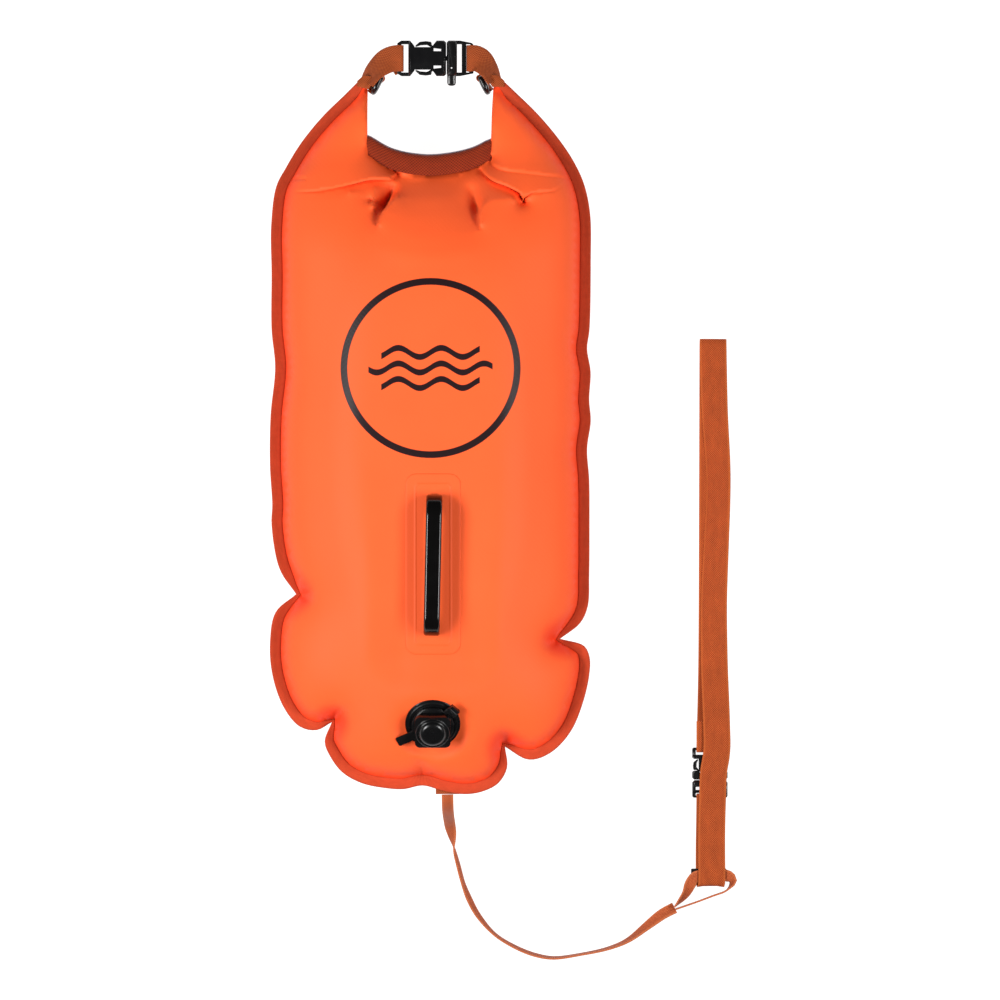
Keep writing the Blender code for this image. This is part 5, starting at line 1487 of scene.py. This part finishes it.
def valve_cap():
    knob = block("valve_cap", (-0.0167, -0.0165, 0.0112), (0.0167, 0.0165, 0.0172))
    round_edges(0.0052, 6, upright)
    switch_to("OBJECT")
    join_shape(knob, turned("dome", [
        (11.5, 8.0), (11.8, 8.3), (11.8, 12.0), (15.9, 12.4), (15.9, 18.2), (15.6, 18.8),
        (14.9, 19.0), (14.2, 18.7), (13.4, 18.6), (12.7, 19.0), (12.2, 20.6), (11.3, 21.9),
        (9.8, 22.7), (7.5, 23.0), (4.0, 23.1), (0.4, 23.1)], steps=72))
    join_shape(knob, turned("hollow", [(9.6, 6), (9.6, 10.6)], steps=48), "DIFFERENCE")
    ease(knob, 0.0004, angle=42)
    valve_piece(knob, "valve_knob", "valve_knob")


def valve_strap():
    """Ring round the barrel with a pull tab and a ridged hinge block."""
    strap = turned("valve_strap", [
        (12.0, 5.9), (19.2, 5.9), (19.5, 6.1), (19.5, 7.0), (19.2, 7.2), (12.0, 7.2)],
        closed=True)
    tab = block("tab", (0.0188, -0.0045, STRAP_LOW), (0.0370, 0.0045, 0.0072))
    round_edges(0.0012, 3, lambda e: upright(e) and middle(e).x > 0.03)
    switch_to("OBJECT")
    tab.data.transform(Matrix.Rotation(math.radians(TAB_TURN), 4, "Z"))
    join_shape(strap, tab)
    hinge = block("hinge", (0.0188, -0.0048, STRAP_LOW), (0.0304, 0.0048, 0.0088))
    for k in range(1, 10):
        cut_round((1, 0, 0), HINGE_START + k * HINGE_STEP)
    raise_faces(0.0014, lambda f: faces_up(f, 0.0215))
    raise_faces(0.0005, lambda f: faces_up(f, 0.0219)
                and int((middle(f).x - HINGE_START) / HINGE_STEP) % 2 == 0)
    switch_to("OBJECT")
    hinge.data.transform(Matrix.Rotation(math.radians(HINGE_TURN), 4, "Z"))
    join_shape(strap, hinge)
    ease(strap, 0.00018, angle=42)
    valve_piece(strap, "valve_tether")


valve_rim()
valve_barrel()
valve_cap()
valve_strap()
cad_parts["valve_seal"].material_slots[0].material = seal_rubber
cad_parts["valve_poppet"].material_slots[0].material = valve_plastic


# Buckles, rings and keeper

# Tapered ends and waist of the closure buckle's upper half, as lines between
# two pixels of the photograph
CUTS = {
    "buckle_female": [(396.4, 43.4, 401.6, 40.2), (410.0, 40.4, 414.6, 46.2),
                      (432.2, 46.2, 436.4, 40.6)],
    "buckle_male": [(459.5, 40.3, 473.5, 43.1)],
}
# How widely an outer corner is rounded, in widths of the eased edges
CORNER_ROUNDING = 3.4


def trim(piece, lines):
    """Cuts corners off a flat moulding: what lies on the left of each line."""
    for x1, y1, x2, y2 in lines:
        start, end = Vector(photo(x1, y1)), Vector(photo(x2, y2))
        along = end - start
        half = along.length / 2 + 0.0012
        cut = block("cut", (-half, 0, 0), (half, 0.0045, 0.12))
        switch_to("OBJECT")
        turn = Matrix.Rotation(math.atan2(along.y, along.x), 4, "Z")
        cut.data.transform(Matrix.Translation(((start + end) / 2).to_3d()) @ turn)
        join_shape(piece, cut, "DIFFERENCE")


def outer_corner(edge, centre, axis):
    """Whether an edge is a sharp outer corner far from the middle line."""
    return (upright(edge) and edge.calc_length() > 0.002
            and abs(middle(edge)[axis] - centre[axis]) > 0.0160
            and edge.calc_face_angle_signed(0) > 1.2)


def buckle_piece(name, node, body, width):
    made = node_copy(name, node)
    cuts = CUTS.get(node, [])
    flip = 2 * (PHOTO_MIDDLE[1] - BUCKLE_Y / PIXEL)
    trim(made, cuts + [(x2, flip - y2, x1, flip - y1) for x1, y1, x2, y2 in cuts])
    if body == "bag":
        only(made)
        switch_to("EDIT")
        centre = (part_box(node)[0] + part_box(node)[1]) / 2
        axis = 1 if node.startswith("buckle") else 0
        round_edges(width * CORNER_ROUNDING, 4, lambda e: outer_corner(e, centre, axis),
                    clamp=True)
    ease(made, width, steps=3, angle=40, smooth=42)
    finish_piece(made, black_plastic, node, body=body, slot="black_plastic")


for tag, width in (("buckle", 0.0007), ("belt_buckle", 0.0006)):
    buckle_piece(tag + "_socket", tag + "_female", "bag", width)
    buckle_piece(tag + "_plug", tag + "_male", "bag", width)
    for side in ("upper", "lower"):
        node = f"{tag}_arm_{side}"
        buckle_piece(f"{tag}_{side}_latch", node, node, width)
buckle_piece("keeper_loop", "belt_keeper", "belt_keeper", 0.0005)

# A ring's bar: outwards from the mouth's corner, up from the ear's middle, and
# down from the seam. How far the ring leans, and how much wider and longer it
# is than the frame's
RING_OUT = 0.0117
RING_UP = 0.011
RING_DROP = 0.00945
RING_LEAN = math.radians(24)
RING_STOUT = (1.95, 1.12)
RING_TAB_WIDTH = 0.013


def lash_ring(side, tag):
    """Moulded D-ring, leaning to the ear in its tab, and the tab."""
    corner = mouth[-1] if side < 0 else mouth[0]
    bar = np.array((corner[0] - side * RING_OUT, (mouth[0][1] + mouth[-1][1]) / 2 + RING_UP))
    z = seam_z(corner[1]) - RING_DROP
    ring = node_copy(tag + "_d_ring", tag + "_ring")
    modify(ring, "SUBSURF", levels=2, render_levels=2)
    ease(ring, 0, smooth=60)
    pivot = Matrix.Translation((*bar, z))
    shape = Matrix.Rotation(side * RING_LEAN, 4, "Z") @ Matrix.Diagonal((*RING_STOUT, 1, 1))
    finish_piece(ring, black_plastic, tag + "_ring", body=tag + "_ring", slot="black_plastic",
                 place=pivot @ shape @ pivot.inverted())
    start = np.array((corner[0] - side * 0.0017, corner[1] - 0.0026))
    along = (bar - start) / np.linalg.norm(bar - start)
    across = np.array((-along[1], along[0]))
    off = 0.0013 + WRAP_OFF
    pinch = across * (WEBBING / 2 + 0.0003)
    neck = bar - along * off * 2
    turn = [bar + along * off * math.cos(a) + across * off * math.sin(a)
            for a in map(math.radians, range(110, -111, -22))]
    rows = [start + pinch, neck + pinch, *turn, neck - pinch, start - pinch]
    tab = ribbon(tag + "_tab_webbing", [(x, y, z, *(across * 0.22), 0.97) for x, y in rows],
                 RING_TAB_WIDTH, WEBBING)
    finish_piece(tab, closure_webbing, tag + "_ring_tab", slot="rust_webbing")


lash_ring(-1, "left")
lash_ring(1, "right")

anchor = ribbon("anchor_webbing", [(0.016, y, 0.07035, 1, 0, 0) for y in (
    -0.3540, -0.3510, -0.3480, -0.3449)], 0.022, WEBBING)
finish_piece(anchor, closure_webbing, "leash_anchor_tab", slot="rust_webbing")


# Floor and lights


def floor():
    bm = bmesh.new()
    bmesh.ops.create_grid(bm, x_segments=1, y_segments=1, size=20)
    made = new_piece("floor", bm)
    made.location.z = -0.0004
    look, tree, shader = new_material("pale_floor", Base_Color=(0.22, 0.22, 0.22, 1),
                                      Roughness=0.9, Emission_Color=(1, 1, 1, 1),
                                      Emission_Strength=0.98)
    made.data.materials.append(look)


def softbox(name, place, aim, size, power):
    data = bpy.data.lights.new(name, "AREA")
    data.shape = "RECTANGLE"
    data.size, data.size_y = size
    data.energy = power
    made = bpy.data.objects.new(name, data)
    made.location = place
    made.rotation_euler = (Vector(place) - Vector(aim)).to_track_quat("Z", "Y").to_euler()
    made.visible_camera = False
    scene.collection.objects.link(made)


def lights():
    world = bpy.data.worlds.new("studio")
    scene.world = world
    world.use_nodes = True
    back = world.node_tree.nodes["Background"]
    back.inputs["Color"].default_value = (1, 1, 1, 1)
    back.inputs["Strength"].default_value = 0.04
    softbox("left_softbox", (-1.68, -0.38, 2.1), (0, -0.1, 0.1), (1.7, 0.58), 95)
    softbox("right_softbox", (1.72, -0.38, 2.1), (0, -0.1, 0.1), (1.7, 0.58), 70)


floor()
lights()
scene.view_settings.view_transform = "Standard"
